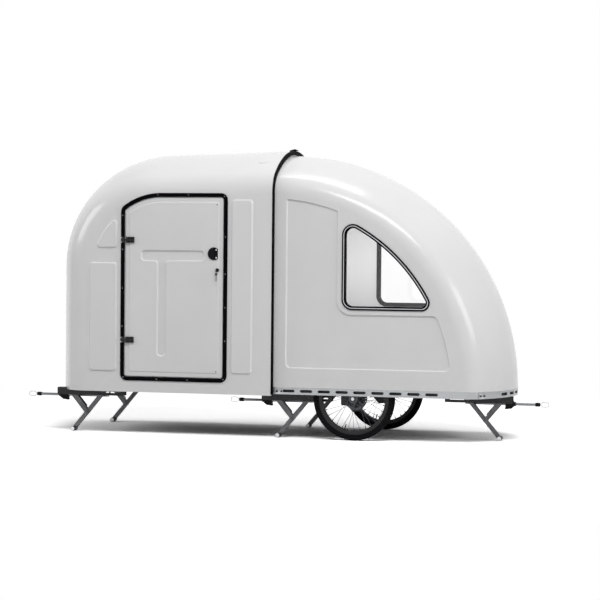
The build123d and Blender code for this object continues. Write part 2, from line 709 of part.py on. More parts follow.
TOW_BORE_R = 12.5
TOW_R = 17
TOW_LENGTH = 160
TOW_BACK = 240
TOW_DOWN = 19
TOW_NECK_W = 24
TOW_PLATE_W = 90
TOW_PLATE_L = 100
TOW_PLATE_T = 5
TOW_PLANE = Plane(
    origin=(SEAM_X + LIP_R - TOW_BACK, 0, BODY_Z - TOW_DOWN), x_dir=(0, 1, 0), z_dir=(1, 0, 0)
)
with BuildPart() as tow_socket:
    with BuildSketch(TOW_PLANE):
        Circle(TOW_R)
        Rectangle(TOW_NECK_W, TOW_DOWN, align=(Align.CENTER, Align.MIN))
    extrude(amount=TOW_LENGTH)
    with BuildSketch(TOW_PLANE.offset((TOW_LENGTH - TOW_PLATE_L) / 2)):
        with Locations((0, TOW_DOWN)):
            Rectangle(TOW_PLATE_W, TOW_PLATE_T, align=(Align.CENTER, Align.MAX))
    extrude(amount=TOW_PLATE_L)
    with BuildSketch(TOW_PLANE):
        Circle(TOW_BORE_R)
    extrude(amount=TOW_LENGTH, mode=Mode.SUBTRACT)
save(tow_socket, "tow_socket")

# Wheels, drawn about their own centre with +Z pointing out of the trailer's side.
BEAD_W = 22
BEAD_H = 9.6
RIM_W = 30
RIM_H = 16
RIM_WALL_T = 3.4
RIM_WALL_H = 8
HUB_R = 15
FLANGE_R = 27
FLANGE_Y = 24
FLANGE_T = 6
HUB_IN = 36
HUB_OUT = 30
SPOKE_R = 1.2
SPOKE_ROOT_R = 22
SPOKE_TURN = 66
SPOKE_STAGGER = 2
SPOKE_RIM_Y = 4
ROTOR_R = 72
ROTOR_T = 2
ROTOR_TRACK = 14
ROTOR_HUB_R = 26
ROTOR_ARMS = 6
ROTOR_ARM = (56, 9)
ROTOR_ARM_AT = (36, 10)
ROTOR_ARM_TURN = 24
ROTOR_HOLES = 24
ROTOR_HOLE_R = 2.6
ROTOR_CLEAR = 3
ROTOR_IN = HUB_IN + ROTOR_T


def wheel_plane(side):
    """Wheel frame on one side: its axis points outward."""
    return Plane(origin=(WHEEL_X, side * WHEEL_Y, TYRE_R), x_dir=(1, 0, 0), z_dir=(0, side, 0))


def tyre_ring():
    """Round tyre on a narrow bead neck."""
    with BuildPart() as ring:
        with BuildSketch(Plane.XZ):
            with Locations((TYRE_R - TYRE_TUBE_R, 0)):
                Circle(TYRE_TUBE_R)
            with Locations((RIM_R, 0)):
                Rectangle(2 * RIM_WALL_H, 4 * TYRE_TUBE_R, mode=Mode.SUBTRACT)
            with Locations((RIM_R, 0)):
                Rectangle(BEAD_H, BEAD_W, align=(Align.MIN, Align.CENTER))
        revolve(axis=Axis.Z, revolution_arc=360)
    return ring.part


def rim_ring():
    """Shallow double-wall rim with two upright flanges."""
    wall_y = (RIM_W - RIM_WALL_T) / 2
    with BuildPart() as ring:
        with BuildSketch(Plane.XZ):
            with Locations((RIM_R, 0)):
                Rectangle(RIM_H, RIM_W, align=(Align.MAX, Align.CENTER))
            with Locations((RIM_R, wall_y), (RIM_R, -wall_y)):
                Rectangle(RIM_WALL_H, RIM_WALL_T, align=(Align.MIN, Align.CENTER))
        revolve(axis=Axis.Z, revolution_arc=360)
    return ring.part


def hub_and_spokes():
    """Hub with two flanges and crossed spokes reaching the rim."""
    reach = RIM_R - RIM_H
    with BuildPart() as spider:
        with BuildSketch(Plane(origin=(0, 0, -HUB_IN))):
            Circle(HUB_R)
        extrude(amount=HUB_IN + HUB_OUT)
        for z in (-FLANGE_Y, FLANGE_Y):
            with BuildSketch(Plane(origin=(0, 0, z - FLANGE_T / 2))):
                Circle(FLANGE_R)
            extrude(amount=FLANGE_T)
        for i in range(SPOKES):
            flange = 1 if i % 2 else -1
            cross = 1 if (i // 2) % 2 else -1
            rim_turn = radians(360 / SPOKES * i)
            hub_turn = rim_turn + cross * radians(SPOKE_TURN)
            root_z = flange * (FLANGE_Y + cross * SPOKE_STAGGER)
            start = Vector(SPOKE_ROOT_R * cos(hub_turn), SPOKE_ROOT_R * sin(hub_turn), root_z)
            tip = Vector(reach * cos(rim_turn), reach * sin(rim_turn), flange * SPOKE_RIM_Y)
            with BuildSketch(Plane(origin=start, z_dir=tip - start)):
                Circle(SPOKE_R)
            extrude(amount=(tip - start).length - SPOKE_R / 2)
        with BuildSketch(Plane(origin=(0, 0, -HUB_IN))):
            Circle(AXLE_R + RUNNING)
        extrude(amount=HUB_IN + HUB_OUT, mode=Mode.SUBTRACT)
    return spider.part


def brake_rotor():
    """Disc rotor with a drilled track on slanted arms."""
    with BuildPart() as rotor:
        with BuildSketch(Plane(origin=(0, 0, -ROTOR_IN))):
            Circle(ROTOR_R)
            Circle(ROTOR_R - ROTOR_TRACK, mode=Mode.SUBTRACT)
            with PolarLocations(0, ROTOR_ARMS):
                with Locations(ROTOR_ARM_AT):
                    Rectangle(ROTOR_ARM[0], ROTOR_ARM[1], rotation=ROTOR_ARM_TURN)
            Circle(ROTOR_HUB_R)
            Circle(AXLE_R + ROTOR_CLEAR, mode=Mode.SUBTRACT)
            with PolarLocations(ROTOR_R - ROTOR_TRACK / 2, ROTOR_HOLES):
                Circle(ROTOR_HOLE_R, mode=Mode.SUBTRACT)
            with BuildSketch(mode=Mode.INTERSECT):
                Circle(ROTOR_R)
        extrude(amount=ROTOR_T)
    return rotor.part


WHEEL_PIECES = [
    ("tyre", tyre_ring()),
    ("rim", rim_ring()),
    ("spokes", hub_and_spokes()),
    ("rotor", brake_rotor()),
]
for side, hand in ((-1, "right"), (1, "left")):
    for kind, shape in WHEEL_PIECES:
        with BuildPart() as wheel_piece:
            add(wheel_plane(side) * shape)
        save(wheel_piece, f"wheel_{hand}_{kind}")

# Axle brackets hang from the nose floor inside each wheel, with the stub axle and the caliper.
# A bracket's outline is X from the axle and height from the axle, below the floor.
BRACKET_T = 10
BRACKET_DEPTH = 62
BRACKET_OUTLINE = [(52, -45), (24, -78), (-24, -82), (-62, -40)]
BRACKET_FOOT = (-66, 58)
BRACKET_PLATE_W = 64
BRACKET_PLATE_T = 8
AXLE_END = 9
AXLE_COLLAR_R = 11
AXLE_NUT_R = 11
AXLE_NUT_T = 8
NUT_GAP = 1
CALIPER_AT = (-66, 14)
CALIPER_SIZE = (44, 62)
CALIPER_R = 10
CALIPER_LIP = 8
CALIPER_GAP = 2.5
CALIPER_REACH = 5
BRACKET_IN = WHEEL_Y - BRACKET_DEPTH
BRACKET_FACE = BRACKET_DEPTH - BRACKET_T
with BuildPart() as axle_brackets:
    for side in (-1, 1):
        outline = [(BRACKET_FOOT[0], BODY_Z - TYRE_R), (BRACKET_FOOT[1], BODY_Z - TYRE_R), *BRACKET_OUTLINE]
        with BuildSketch(wheel_plane(side).offset(-BRACKET_DEPTH)):
            with BuildLine():
                Polyline([(x, -side * up) for x, up in outline], close=True)
            make_face()
        extrude(amount=BRACKET_T)
        middle_x = WHEEL_X + sum(BRACKET_FOOT) / 2
        middle_y = side * (BRACKET_IN + BRACKET_T - BRACKET_PLATE_W / 2)
        with BuildSketch(Plane(origin=(middle_x, middle_y, BODY_Z), z_dir=(0, 0, -1))):
            Rectangle(BRACKET_FOOT[1] - BRACKET_FOOT[0], BRACKET_PLATE_W)
        extrude(amount=BRACKET_PLATE_T)
save(axle_brackets, "axle_brackets")

with BuildPart() as stub_axles:
    for side in (-1, 1):
        with BuildSketch(wheel_plane(side).offset(-BRACKET_FACE)):
            Circle(AXLE_R)
        extrude(amount=BRACKET_FACE + HUB_OUT + AXLE_END)
        with BuildSketch(wheel_plane(side).offset(-BRACKET_FACE)):
            Circle(AXLE_COLLAR_R)
        extrude(amount=BRACKET_FACE - ROTOR_IN - NUT_GAP)
        with BuildSketch(wheel_plane(side).offset(HUB_OUT + NUT_GAP)):
            RegularPolygon(AXLE_NUT_R, 6)
        extrude(amount=AXLE_NUT_T)
save(stub_axles, "stub_axles")

with BuildPart() as brake_calipers:
    for side in (-1, 1):
        with BuildSketch(wheel_plane(side).offset(-BRACKET_FACE)):
            with Locations((CALIPER_AT[0], side * CALIPER_AT[1])):
                RectangleRounded(CALIPER_SIZE[0], CALIPER_SIZE[1], CALIPER_R)
        extrude(amount=BRACKET_FACE - HUB_IN + CALIPER_LIP)
        with BuildSketch(wheel_plane(side).offset(-ROTOR_IN - CALIPER_GAP)):
            Circle(ROTOR_R + CALIPER_REACH)
        extrude(amount=ROTOR_T + 2 * CALIPER_GAP, mode=Mode.SUBTRACT)
save(brake_calipers, "brake_calipers")

# Leg units. Each runs inward from its brace pivot; "out" is the way its rod points along X, and
# "extra" is how much further out its clamp and rod reach.
FOLDED = radians(7)
TRAVEL = 2 * LEG_ARM * (cos(FOLDED) - cos(LEG))
TOP_PIN_R = 5
TRACK_IN = 23
TRACK_OUT = 26
TRACK_LOW = 224
TRACK_WEB = 3
TRACK_START = 62
TRACK_END = 30
TRACK_SLOT_GAP = 1
SEAM_CUT_U = 14
SEAM_CUT_DOWN = 6
BRACE_GAP = 2
BRACE_T = 3
BRACE_BACK = 19
BRACE_BACK_END = 33
BRACE_BACK_START = 5
BRACE_MOUTH = 16
BRACE_IN = LEG_TUBE / 2 + BRACE_GAP
CLAMP_LENGTH = 50
CLAMP_UP = 21
CLAMP_DOWN = 20
CLAMP_W = 30
CLAMP_R = 8
LEVER_IN = 6
LEVER_W = 16
LEVER_DOWN = 23
LEVER_SIZE = (46, 14)
LEVER_TURN = -8
LEG_TUBE_R = 3
LEG_CAP = 10
TOP_PIN_OUT = 20
TOP_PIN_IN = 38
PIN_HEAD = 3
LOST_MOTION = 22
EYE_RIM = 9
EYE_T = 6
EYE_GAP = 2
EYE_SLOT_GAP = 0.8
EYE_FOOT = 29
ROD_CAP_R = 11
ROD_CAP_L = 16
LOOP_ROOT = 4
LOOP_BEND_GAP = 0.5
LEG_UNITS = [
    ("rear_right", REAR_BRACE_U, -1, -SIDE_LEG_Y, 1, SIDE_ROD_EXTRA),
    ("rear_left", REAR_BRACE_U, -1, SIDE_LEG_Y, -1, SIDE_ROD_EXTRA),
    ("seam_right", SEAM_BRACE_U, -1, -SIDE_LEG_Y, 1, SIDE_ROD_EXTRA),
    ("seam_left", SEAM_BRACE_U, -1, SIDE_LEG_Y, -1, SIDE_ROD_EXTRA),
    ("front", FRONT_BRACE_U, 1, -FRONT_LEG_Y, 1, 0),
]


def unit_plane(brace_u, out, y):
    """Upright plane through a leg unit; its own x runs inward from the brace pivot, its y is height."""
    return Plane(origin=(SEAM_X + brace_u, y, 0), x_dir=(-out, 0, 0), z_dir=(0, out, 0))


def leg_track(brace_u, out, y, extra):
    """Channel under the floor that carries the brace pivot and guides the leg's top pin."""
    plane = unit_plane(brace_u, out, y)
    start = -TRACK_START - extra
    length = LEG_BASE + TRAVEL + TRACK_END - start
    with BuildPart() as track:
        with BuildSketch(plane):
            with Locations((start, TRACK_LOW)):
                Rectangle(length, BODY_Z - TRACK_LOW, align=(Align.MIN, Align.MIN))
        extrude(amount=TRACK_OUT, both=True)
        with BuildSketch(plane):
            with Locations((start, TRACK_LOW)):
                Rectangle(length, BODY_Z - TRACK_WEB - TRACK_LOW, align=(Align.MIN, Align.MIN))
        extrude(amount=TRACK_IN, both=True, mode=Mode.SUBTRACT)
        with BuildSketch(plane):
            with Locations((LEG_BASE + TRAVEL / 2, LEG_PIVOT_Z)):
                SlotOverall(TRAVEL + 4 * TOP_PIN_R, 2 * TOP_PIN_R + TRACK_SLOT_GAP)
        extrude(amount=TRACK_OUT, both=True, mode=Mode.SUBTRACT)
        if abs(brace_u) < TRACK_START:
            with BuildSketch(plane):
                with Locations((out * brace_u + SEAM_CUT_U, BODY_Z)):
                    Rectangle(length, 2 * SEAM_CUT_DOWN, align=(Align.MAX, Align.CENTER))
            extrude(amount=TRACK_OUT, both=True, mode=Mode.SUBTRACT)
        with BuildSketch(plane):
            with Locations((0, LEG_PIVOT_Z)):
                Circle(TOP_PIN_R)
        extrude(amount=TRACK_OUT, both=True)
    return track.part


def rod_clamp(brace_u, out, y, inner, extra):
    """Quick-release clamp fixed beside the channel, with its bore round the rod."""
    plane = unit_plane(brace_u, out, y)
    hand = inner * out
    start = -TRACK_START - extra
    middle = start + CLAMP_LENGTH / 2
    with BuildPart() as clamp:
        with BuildSketch(plane.offset(hand * TRACK_OUT)):
            with Locations((middle, ROD_Z + (CLAMP_UP - CLAMP_DOWN) / 2)):
                RectangleRounded(CLAMP_LENGTH, CLAMP_UP + CLAMP_DOWN, CLAMP_R)
        extrude(amount=hand * CLAMP_W)
        with BuildSketch(plane.offset(hand * (TRACK_OUT + LEVER_IN))):
            with Locations((middle + LEVER_IN, ROD_Z - LEVER_DOWN)):
                SlotOverall(LEVER_SIZE[0], LEVER_SIZE[1], rotation=LEVER_TURN)
        extrude(amount=hand * LEVER_W)
        bore_x = SEAM_X + brace_u - out * start
        with BuildSketch(Plane(origin=(bore_x, y + inner * ROD_OFFSET, ROD_Z), z_dir=(-out, 0, 0))):
            Circle(ROD_R + RUNNING)
        extrude(amount=CLAMP_LENGTH, mode=Mode.SUBTRACT)
    return clamp.part


def leg_tube(brace_u, out, y, inner):
    """Square leg with its top pin and a round foot across its end."""
    top = Vector(SEAM_X + brace_u - out * LEG_BASE, y, LEG_PIVOT_Z)
    along = Vector(out * cos(LEG), 0, -sin(LEG))
    with BuildPart() as leg:
        with BuildSketch(Plane(origin=top - along * LEG_CAP, x_dir=(0, 1, 0), z_dir=along)):
            RectangleRounded(LEG_TUBE, LEG_TUBE, LEG_TUBE_R)
        extrude(amount=LEG_LENGTH + LEG_CAP)
        with BuildSketch(Plane(origin=top + along * LEG_LENGTH, x_dir=(1, 0, 0), z_dir=(0, 1, 0))):
            Circle(FOOT_R)
        extrude(amount=FOOT_WIDTH / 2, both=True)
        outer_end = top - Vector(0, inner * TOP_PIN_OUT, 0)
        with BuildSketch(Plane(origin=outer_end, x_dir=(1, 0, 0), z_dir=(0, inner, 0))):
            Circle(TOP_PIN_R)
        extrude(amount=TOP_PIN_OUT + TOP_PIN_IN)
        with BuildSketch(Plane(origin=top + along * LEG_ARM, x_dir=(1, 0, 0), z_dir=(0, 1, 0))):
            Circle(TOP_PIN_R)
        extrude(amount=BRACE_IN + BRACE_T + PIN_HEAD, both=True)
    return leg.part


def leg_brace(brace_u, out, y):
    """Channel brace from the fixed pivot to the leg's pin, open below so the leg folds into it."""
    pivot = Vector(SEAM_X + brace_u, y, LEG_PIVOT_Z)
    along = Vector(-out * cos(LEG), 0, -sin(LEG))
    plane = Plane(origin=pivot, x_dir=along, z_dir=(0, out, 0))
    back_length = LEG_ARM - BRACE_BACK_START - BRACE_BACK_END
    with BuildPart() as brace:
        with BuildSketch(plane):
            with Locations((LEG_ARM / 2, 0)):
                SlotCenterToCenter(LEG_ARM, LEG_TUBE)
            with Locations((BRACE_BACK_START, BRACE_BACK)):
                Rectangle(back_length, BRACE_BACK, align=(Align.MIN, Align.MAX))
        extrude(amount=BRACE_IN + BRACE_T, both=True)
        with BuildSketch(plane):
            with Locations((LEG_ARM / 2, BRACE_MOUTH)):
                Rectangle(2 * LEG_ARM, LEG_ARM, align=(Align.CENTER, Align.MAX))
        extrude(amount=BRACE_IN, both=True, mode=Mode.SUBTRACT)
        with BuildSketch(plane):
            with Locations((LEG_ARM, 0), (0, 0)):
                Circle(TOP_PIN_R + RUNNING)
        extrude(amount=TRACK_OUT, both=True, mode=Mode.SUBTRACT)
    return brace.part


def leg_rod(brace_u, out, y, inner, extra):
    """Rod with an end stop, a pull loop and a slotted eye on the leg's top pin."""
    axis_y = y + inner * ROD_OFFSET
    eye = SEAM_X + brace_u - out * (LEG_BASE + LOST_MOTION / 2)
    tip = SEAM_X + brace_u + out * (ROD_TIP + extra)
    plate_y = y + inner * (TRACK_OUT + EYE_GAP)
    eye_length = LOST_MOTION + 2 * TOP_PIN_R
    with BuildPart() as rod:
        with BuildSketch(Plane(origin=(eye, axis_y, ROD_Z), x_dir=(0, 1, 0), z_dir=(out, 0, 0))):
            Circle(ROD_R)
        extrude(amount=abs(tip - eye))
        with BuildSketch(Plane(origin=(tip, axis_y, ROD_Z), x_dir=(0, 1, 0), z_dir=(out, 0, 0))):
            Circle(ROD_CAP_R)
        extrude(amount=-ROD_CAP_L)
        eye_plane = Plane(origin=(eye, plate_y, LEG_PIVOT_Z), x_dir=(-inner, 0, 0), z_dir=(0, inner, 0))
        with BuildSketch(eye_plane):
            SlotOverall(eye_length + 2 * EYE_RIM, 2 * (TOP_PIN_R + EYE_RIM))
            Rectangle(eye_length, EYE_FOOT, align=(Align.CENTER, Align.MAX))
            SlotOverall(eye_length + EYE_SLOT_GAP, 2 * TOP_PIN_R + EYE_SLOT_GAP, mode=Mode.SUBTRACT)
        extrude(amount=EYE_T)
        root = tip - out * LOOP_ROOT
        reach = LOOP_TIP - ROD_TIP + LOOP_ROOT - LOOP_WIRE_R
        neck = LOOP_NECK / 2
        bulge = LOOP_HEIGHT / 2
        bend = 2 * LOOP_NECK
        end_r = bulge - LOOP_BEND_GAP
        with BuildLine(Plane(origin=(root, axis_y, ROD_Z), x_dir=(out, 0, 0), z_dir=(0, -out, 0))) as path:
            FilletPolyline(
                (0, neck),
                (bend, neck),
                (2 * bend, bulge),
                (reach, bulge),
                (reach, -bulge),
                (2 * bend, -bulge),
                (bend, -neck),
                (0, -neck),
                radius=[neck, neck, end_r, end_r, neck, neck],
            )
        with BuildSketch(Plane(origin=path.line @ 0, z_dir=path.line % 0)):
            Circle(LOOP_WIRE_R)
        sweep(path=path.line)
    return rod.part


for name, brace_u, out, y, inner, extra in LEG_UNITS:
    with BuildPart() as one_leg:
        add(leg_tube(brace_u, out, y, inner))
    save(one_leg, f"leg_{name}")
    with BuildPart() as one_brace:
        add(leg_brace(brace_u, out, y))
    save(one_brace, f"brace_{name}")
    with BuildPart() as one_rod:
        add(leg_rod(brace_u, out, y, inner, extra))
    save(one_rod, f"rod_{name}")

for group in ("rear", "seam", "front"):
    with BuildPart() as tracks:
        for name, brace_u, out, y, inner, extra in LEG_UNITS:
            if name.startswith(group):
                add(leg_track(brace_u, out, y, extra))
    save(tracks, f"{group}_leg_tracks")
    with BuildPart() as clamps:
        for name, brace_u, out, y, inner, extra in LEG_UNITS:
            if name.startswith(group):
                add(rod_clamp(brace_u, out, y, inner, extra))
    save(clamps, f"{group}_rod_clamps")
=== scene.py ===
"""Dresses the folding bicycle camper: finishes, small fittings, tyres and a plain studio."""
import json
import math

import bmesh
import bpy
from mathutils import Matrix, Vector

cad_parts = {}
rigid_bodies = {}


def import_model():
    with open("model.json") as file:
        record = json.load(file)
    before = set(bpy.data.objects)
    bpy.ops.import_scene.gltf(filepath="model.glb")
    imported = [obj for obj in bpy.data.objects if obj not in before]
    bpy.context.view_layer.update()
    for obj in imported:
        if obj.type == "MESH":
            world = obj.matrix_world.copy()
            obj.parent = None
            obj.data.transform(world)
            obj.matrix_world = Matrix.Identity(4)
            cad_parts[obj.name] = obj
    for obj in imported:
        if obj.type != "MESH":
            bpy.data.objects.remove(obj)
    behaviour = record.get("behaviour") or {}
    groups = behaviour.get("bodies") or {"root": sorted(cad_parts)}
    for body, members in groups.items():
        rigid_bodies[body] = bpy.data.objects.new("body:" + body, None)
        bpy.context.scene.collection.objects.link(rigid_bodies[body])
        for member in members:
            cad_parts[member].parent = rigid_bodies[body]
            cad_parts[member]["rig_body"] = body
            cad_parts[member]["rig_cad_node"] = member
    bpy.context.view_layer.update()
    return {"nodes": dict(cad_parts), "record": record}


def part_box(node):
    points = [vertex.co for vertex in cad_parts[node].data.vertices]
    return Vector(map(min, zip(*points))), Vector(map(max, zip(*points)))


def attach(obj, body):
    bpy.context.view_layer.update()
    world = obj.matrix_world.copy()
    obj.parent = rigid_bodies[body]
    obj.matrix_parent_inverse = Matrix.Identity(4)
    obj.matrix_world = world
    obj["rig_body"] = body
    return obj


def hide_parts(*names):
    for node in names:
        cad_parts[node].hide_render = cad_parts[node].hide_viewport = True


bl_info = {
    "name": "Bicycle Camper Dressing",
    "version": (1, 0, 0),
    "blender": (4, 5, 0),
    "location": "View3D > Sidebar > Camper",
    "description": "Adds finishes, fittings, tyres and a studio to the camper's frame",
    "category": "Object",
}

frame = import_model()
NODES = frame["nodes"]
SIDES = (("right", -1), ("left", 1))
LEG_NAMES = ("rear_right", "rear_left", "seam_right", "seam_left", "front")
# How much paler than its paint the floor looks to the camera.
CAMERA_GAIN = 3.5
# Height of a foot's middle over the ground.
FOOT_HEIGHT = 0.014
# Band of a noise value that is spread over a whole range.
NOISE_LOW, NOISE_HIGH = 0.3, 0.7
DOOR_OUT = (0, -1, 0)


# Sizes and colours that a user would change

class CamperFinishes(bpy.types.PropertyGroup):
    """Colours of the camper's surfaces, as sRGB hex."""

    shell: bpy.props.StringProperty(name="Shell", description="Gelcoat white", default="ECECEC")
    shell_dust: bpy.props.StringProperty(name="Shell dust", description="Road film low down", default="D2D2D0")
    rubber: bpy.props.StringProperty(name="Rubber", description="Edge trim and seals", default="040405")
    rail: bpy.props.StringProperty(name="Rail", description="Anodised aluminium", default="A2A4A6")
    legs: bpy.props.StringProperty(name="Legs", description="Powder coat on legs", default="6C6D6F")
    black_coat: bpy.props.StringProperty(name="Black coat", description="Rims and brackets", default="0E0E0F")
    nylon: bpy.props.StringProperty(name="Nylon", description="Handle, clamps, latch", default="08080A")
    alloy: bpy.props.StringProperty(name="Alloy", description="Spokes, rotor, axle", default="C4C6C8")
    tyre: bpy.props.StringProperty(name="Tyre", description="Tyre rubber", default="060607")
    floor_panel: bpy.props.StringProperty(name="Floor panel", description="Underfloor", default="4A4B4D")


class CamperFittings(bpy.types.PropertyGroup):
    """Sizes of the small pieces added to the frame."""

    skirt_drop: bpy.props.FloatProperty(
        name="Skirt", description="How far the rear shell reaches below its floor", default=0.009, unit="LENGTH")
    stud_radius: bpy.props.FloatProperty(
        name="Trim stud", description="Radius of a door trim stud", default=0.0035, unit="LENGTH")
    screw_radius: bpy.props.FloatProperty(
        name="Screw", description="Radius of a pan-head screw", default=0.0048, unit="LENGTH")
    bead_inset: bpy.props.FloatProperty(
        name="Bead inset", description="Rubber left each side of the bright bead", default=0.0075, unit="LENGTH")
    bead_height: bpy.props.FloatProperty(
        name="Bead height", description="How far the bead stands up", default=0.0014, unit="LENGTH")
    tread_depth: bpy.props.FloatProperty(
        name="Tread depth", description="Height of the tread blocks", default=0.0014, unit="LENGTH")
    tread_steps: bpy.props.IntProperty(
        name="Tread steps", description="Tread blocks round the tyre", default=132)
    lip_height: bpy.props.FloatProperty(
        name="Rail lip", description="Height of the rail's upper lip", default=0.007, unit="LENGTH")
    lip_stand: bpy.props.FloatProperty(
        name="Rail lip stand", description="How far the lip stands out", default=0.0016, unit="LENGTH")
    cap_radius: bpy.props.FloatProperty(
        name="Rod cap", description="Radius of a rod's end cap", default=0.0118, unit="LENGTH")


class CamperStudio(bpy.types.PropertyGroup):
    """Camera and light."""

    lens: bpy.props.FloatProperty(name="Lens", description="Focal length in mm", default=130.04)
    place: bpy.props.FloatVectorProperty(
        name="Camera", description="Where the camera stands", default=(3.5354, -12.9532, 1.1692), subtype="XYZ")
    yaw: bpy.props.FloatProperty(name="Yaw", description="Turn to the left", default=0.263, subtype="ANGLE")
    pitch: bpy.props.FloatProperty(name="Pitch", description="Tilt down", default=0.0259, subtype="ANGLE")
    roll: bpy.props.FloatProperty(
        name="Roll", description="Tilt of the right edge up", default=0.0094, subtype="ANGLE")
    sky: bpy.props.FloatProperty(name="Sky", description="Light from all round", default=0.27)
    top_power: bpy.props.FloatProperty(name="Top light", description="Power of the overhead softbox", default=55.0)
    front_power: bpy.props.FloatProperty(
        name="Front light", description="Power of the front softbox", default=355.0)
    side_power: bpy.props.FloatProperty(name="Side light", description="Power of each end softbox", default=170.0)
    cabin_power: bpy.props.FloatProperty(name="Cabin light", description="Power of the lamp inside", default=5.5)


# Materials

def linear(text):
    """sRGB hex to linear RGBA."""
    values = []
    for i in (0, 2, 4):
        c = int(text[i:i + 2], 16) / 255
        values.append(c / 12.92 if c <= 0.04045 else ((c + 0.055) / 1.055) ** 2.4)
    return (*values, 1.0)


def add_node(tree, kind, settings=None, **inputs):
    """Adds a node with its settings, and sets or links inputs by name (underscore for space) or number (i2)."""
    made = tree.nodes.new(kind)
    for key, value in (settings or {}).items():
        setattr(made, key, value)
    for key, value in inputs.items():
        numbered = key[0] == "i" and key[1:].isdigit()
        socket = made.inputs[int(key[1:]) if numbered else key.replace("_", " ")]
        if isinstance(value, bpy.types.NodeSocket):
            tree.links.new(value, socket)
        else:
            socket.default_value = value
    return made


def grain(tree, size_mm, detail=3.0, stretch=(1, 1, 1)):
    """Noise on Object coordinates whose features are about size_mm across."""
    coords = add_node(tree, "ShaderNodeTexCoord")
    mapped = add_node(tree, "ShaderNodeMapping", Vector=coords.outputs["Object"], Scale=stretch)
    return add_node(tree, "ShaderNodeTexNoise", Vector=mapped.outputs[0], Scale=1000 / size_mm, Detail=detail)


def finish(name, colours, rough, bump_mm, bump_depth, metallic=0.0, coat=0.0, tint_mm=60, stretch=(1, 1, 1),
           gloss=0.5):
    """Surface with a slow tint and roughness change and a fine grain in relief (depth in mm)."""
    mat = bpy.data.materials.new(name)
    mat.use_nodes = True
    tree = mat.node_tree
    shader = tree.nodes["Principled BSDF"]
    shader.inputs["Metallic"].default_value = metallic
    shader.inputs["Specular IOR Level"].default_value = gloss
    shader.inputs["Coat Weight"].default_value = coat
    shader.inputs["Coat Roughness"].default_value = 0.06
    slow = grain(tree, tint_mm, stretch=stretch)
    fine = grain(tree, bump_mm, 2.0, stretch)
    tint = add_node(tree, "ShaderNodeMapRange", Value=slow.outputs[0], i1=NOISE_LOW, i2=NOISE_HIGH)
    colour = add_node(tree, "ShaderNodeMix", {"data_type": "RGBA"}, Factor=tint.outputs[0],
                      i6=linear(colours[0]), i7=linear(colours[1]))
    wear = add_node(tree, "ShaderNodeMapRange", Value=slow.outputs[0], i1=NOISE_LOW, i2=NOISE_HIGH,
                    i3=rough[0], i4=rough[1])
    relief = add_node(tree, "ShaderNodeBump", Strength=0.6, Distance=bump_depth / 1000, Height=fine.outputs[0])
    tree.links.new(colour.outputs[2], shader.inputs["Base Color"])
    tree.links.new(wear.outputs[0], shader.inputs["Roughness"])
    tree.links.new(relief.outputs[0], shader.inputs["Normal"])
    return mat, tree, shader


def shade(text, share):
    """A hex colour made darker or, with a share over 1, paler."""
    return "".join(f"{round(int(text[i:i + 2], 16) * share):02X}" for i in (0, 2, 4))


def height_band(tree, low, high):
    """1 below a height, 0 above another, on the piece's own coordinates."""
    coords = add_node(tree, "ShaderNodeTexCoord")
    parts = add_node(tree, "ShaderNodeSeparateXYZ", Vector=coords.outputs["Object"])
    return add_node(tree, "ShaderNodeMapRange", Value=parts.outputs[2], i1=low, i2=high, i3=1.0, i4=0.0).outputs[0]


def gelcoat(hexes):
    """Moulded gelcoat: white, glossy, a slight orange peel of 7 mm and a thin road film near the ground."""
    mat, tree, shader = finish("moulded_gelcoat", (hexes.shell, shade(hexes.shell, 0.985)), (0.17, 0.24), 7, 0.05,
                               coat=0.1, tint_mm=320, gloss=0.35)
    clean = shader.inputs["Base Color"].links[0].from_socket
    low = height_band(tree, 0.27, 0.52)
    patches = add_node(tree, "ShaderNodeMapRange", Value=grain(tree, 45).outputs[0], i1=NOISE_LOW, i2=NOISE_HIGH,
                       i4=0.14)
    film = add_node(tree, "ShaderNodeMath", {"operation": "MULTIPLY"}, i0=low, i1=patches.outputs[0])
    colour = add_node(tree, "ShaderNodeMix", {"data_type": "RGBA"}, Factor=film.outputs[0], i6=clean,
                      i7=linear(hexes.shell_dust))
    tree.links.new(colour.outputs[2], shader.inputs["Base Color"])
    return mat


def leg_coat(hexes):
    """Powder coat with a grit of 0.8 mm, drawn at 1.6 mm to show, and darker feet at the ground."""
    mat, tree, shader = finish("powder_coat", (hexes.legs, shade(hexes.legs, 0.86)), (0.42, 0.55), 1.6, 0.12,
                               metallic=0.35)
    coat = shader.inputs["Base Color"].links[0].from_socket
    foot = height_band(tree, 0.0278, 0.0284)
    colour = add_node(tree, "ShaderNodeMix", {"data_type": "RGBA"}, Factor=foot, i6=coat,
                      i7=linear(shade(hexes.legs, 0.4)))
    tree.links.new(colour.outputs[2], shader.inputs["Base Color"])
    return mat


def clear_acrylic():
    """Cast acrylic: clear, with faint polishing haze."""
    mat = bpy.data.materials.new("cast_acrylic")
    mat.use_nodes = True
    tree = mat.node_tree
    shader = tree.nodes["Principled BSDF"]
    shader.inputs["Base Color"].default_value = linear("FFFFFF")
    shader.inputs["Transmission Weight"].default_value = 1.0
    shader.inputs["IOR"].default_value = 1.49
    haze = add_node(tree, "ShaderNodeMapRange", Value=grain(tree, 25, 4.0).outputs[0], i1=NOISE_LOW, i2=NOISE_HIGH,
                    i4=0.008)
    tree.links.new(haze.outputs[0], shader.inputs["Roughness"])
    return mat


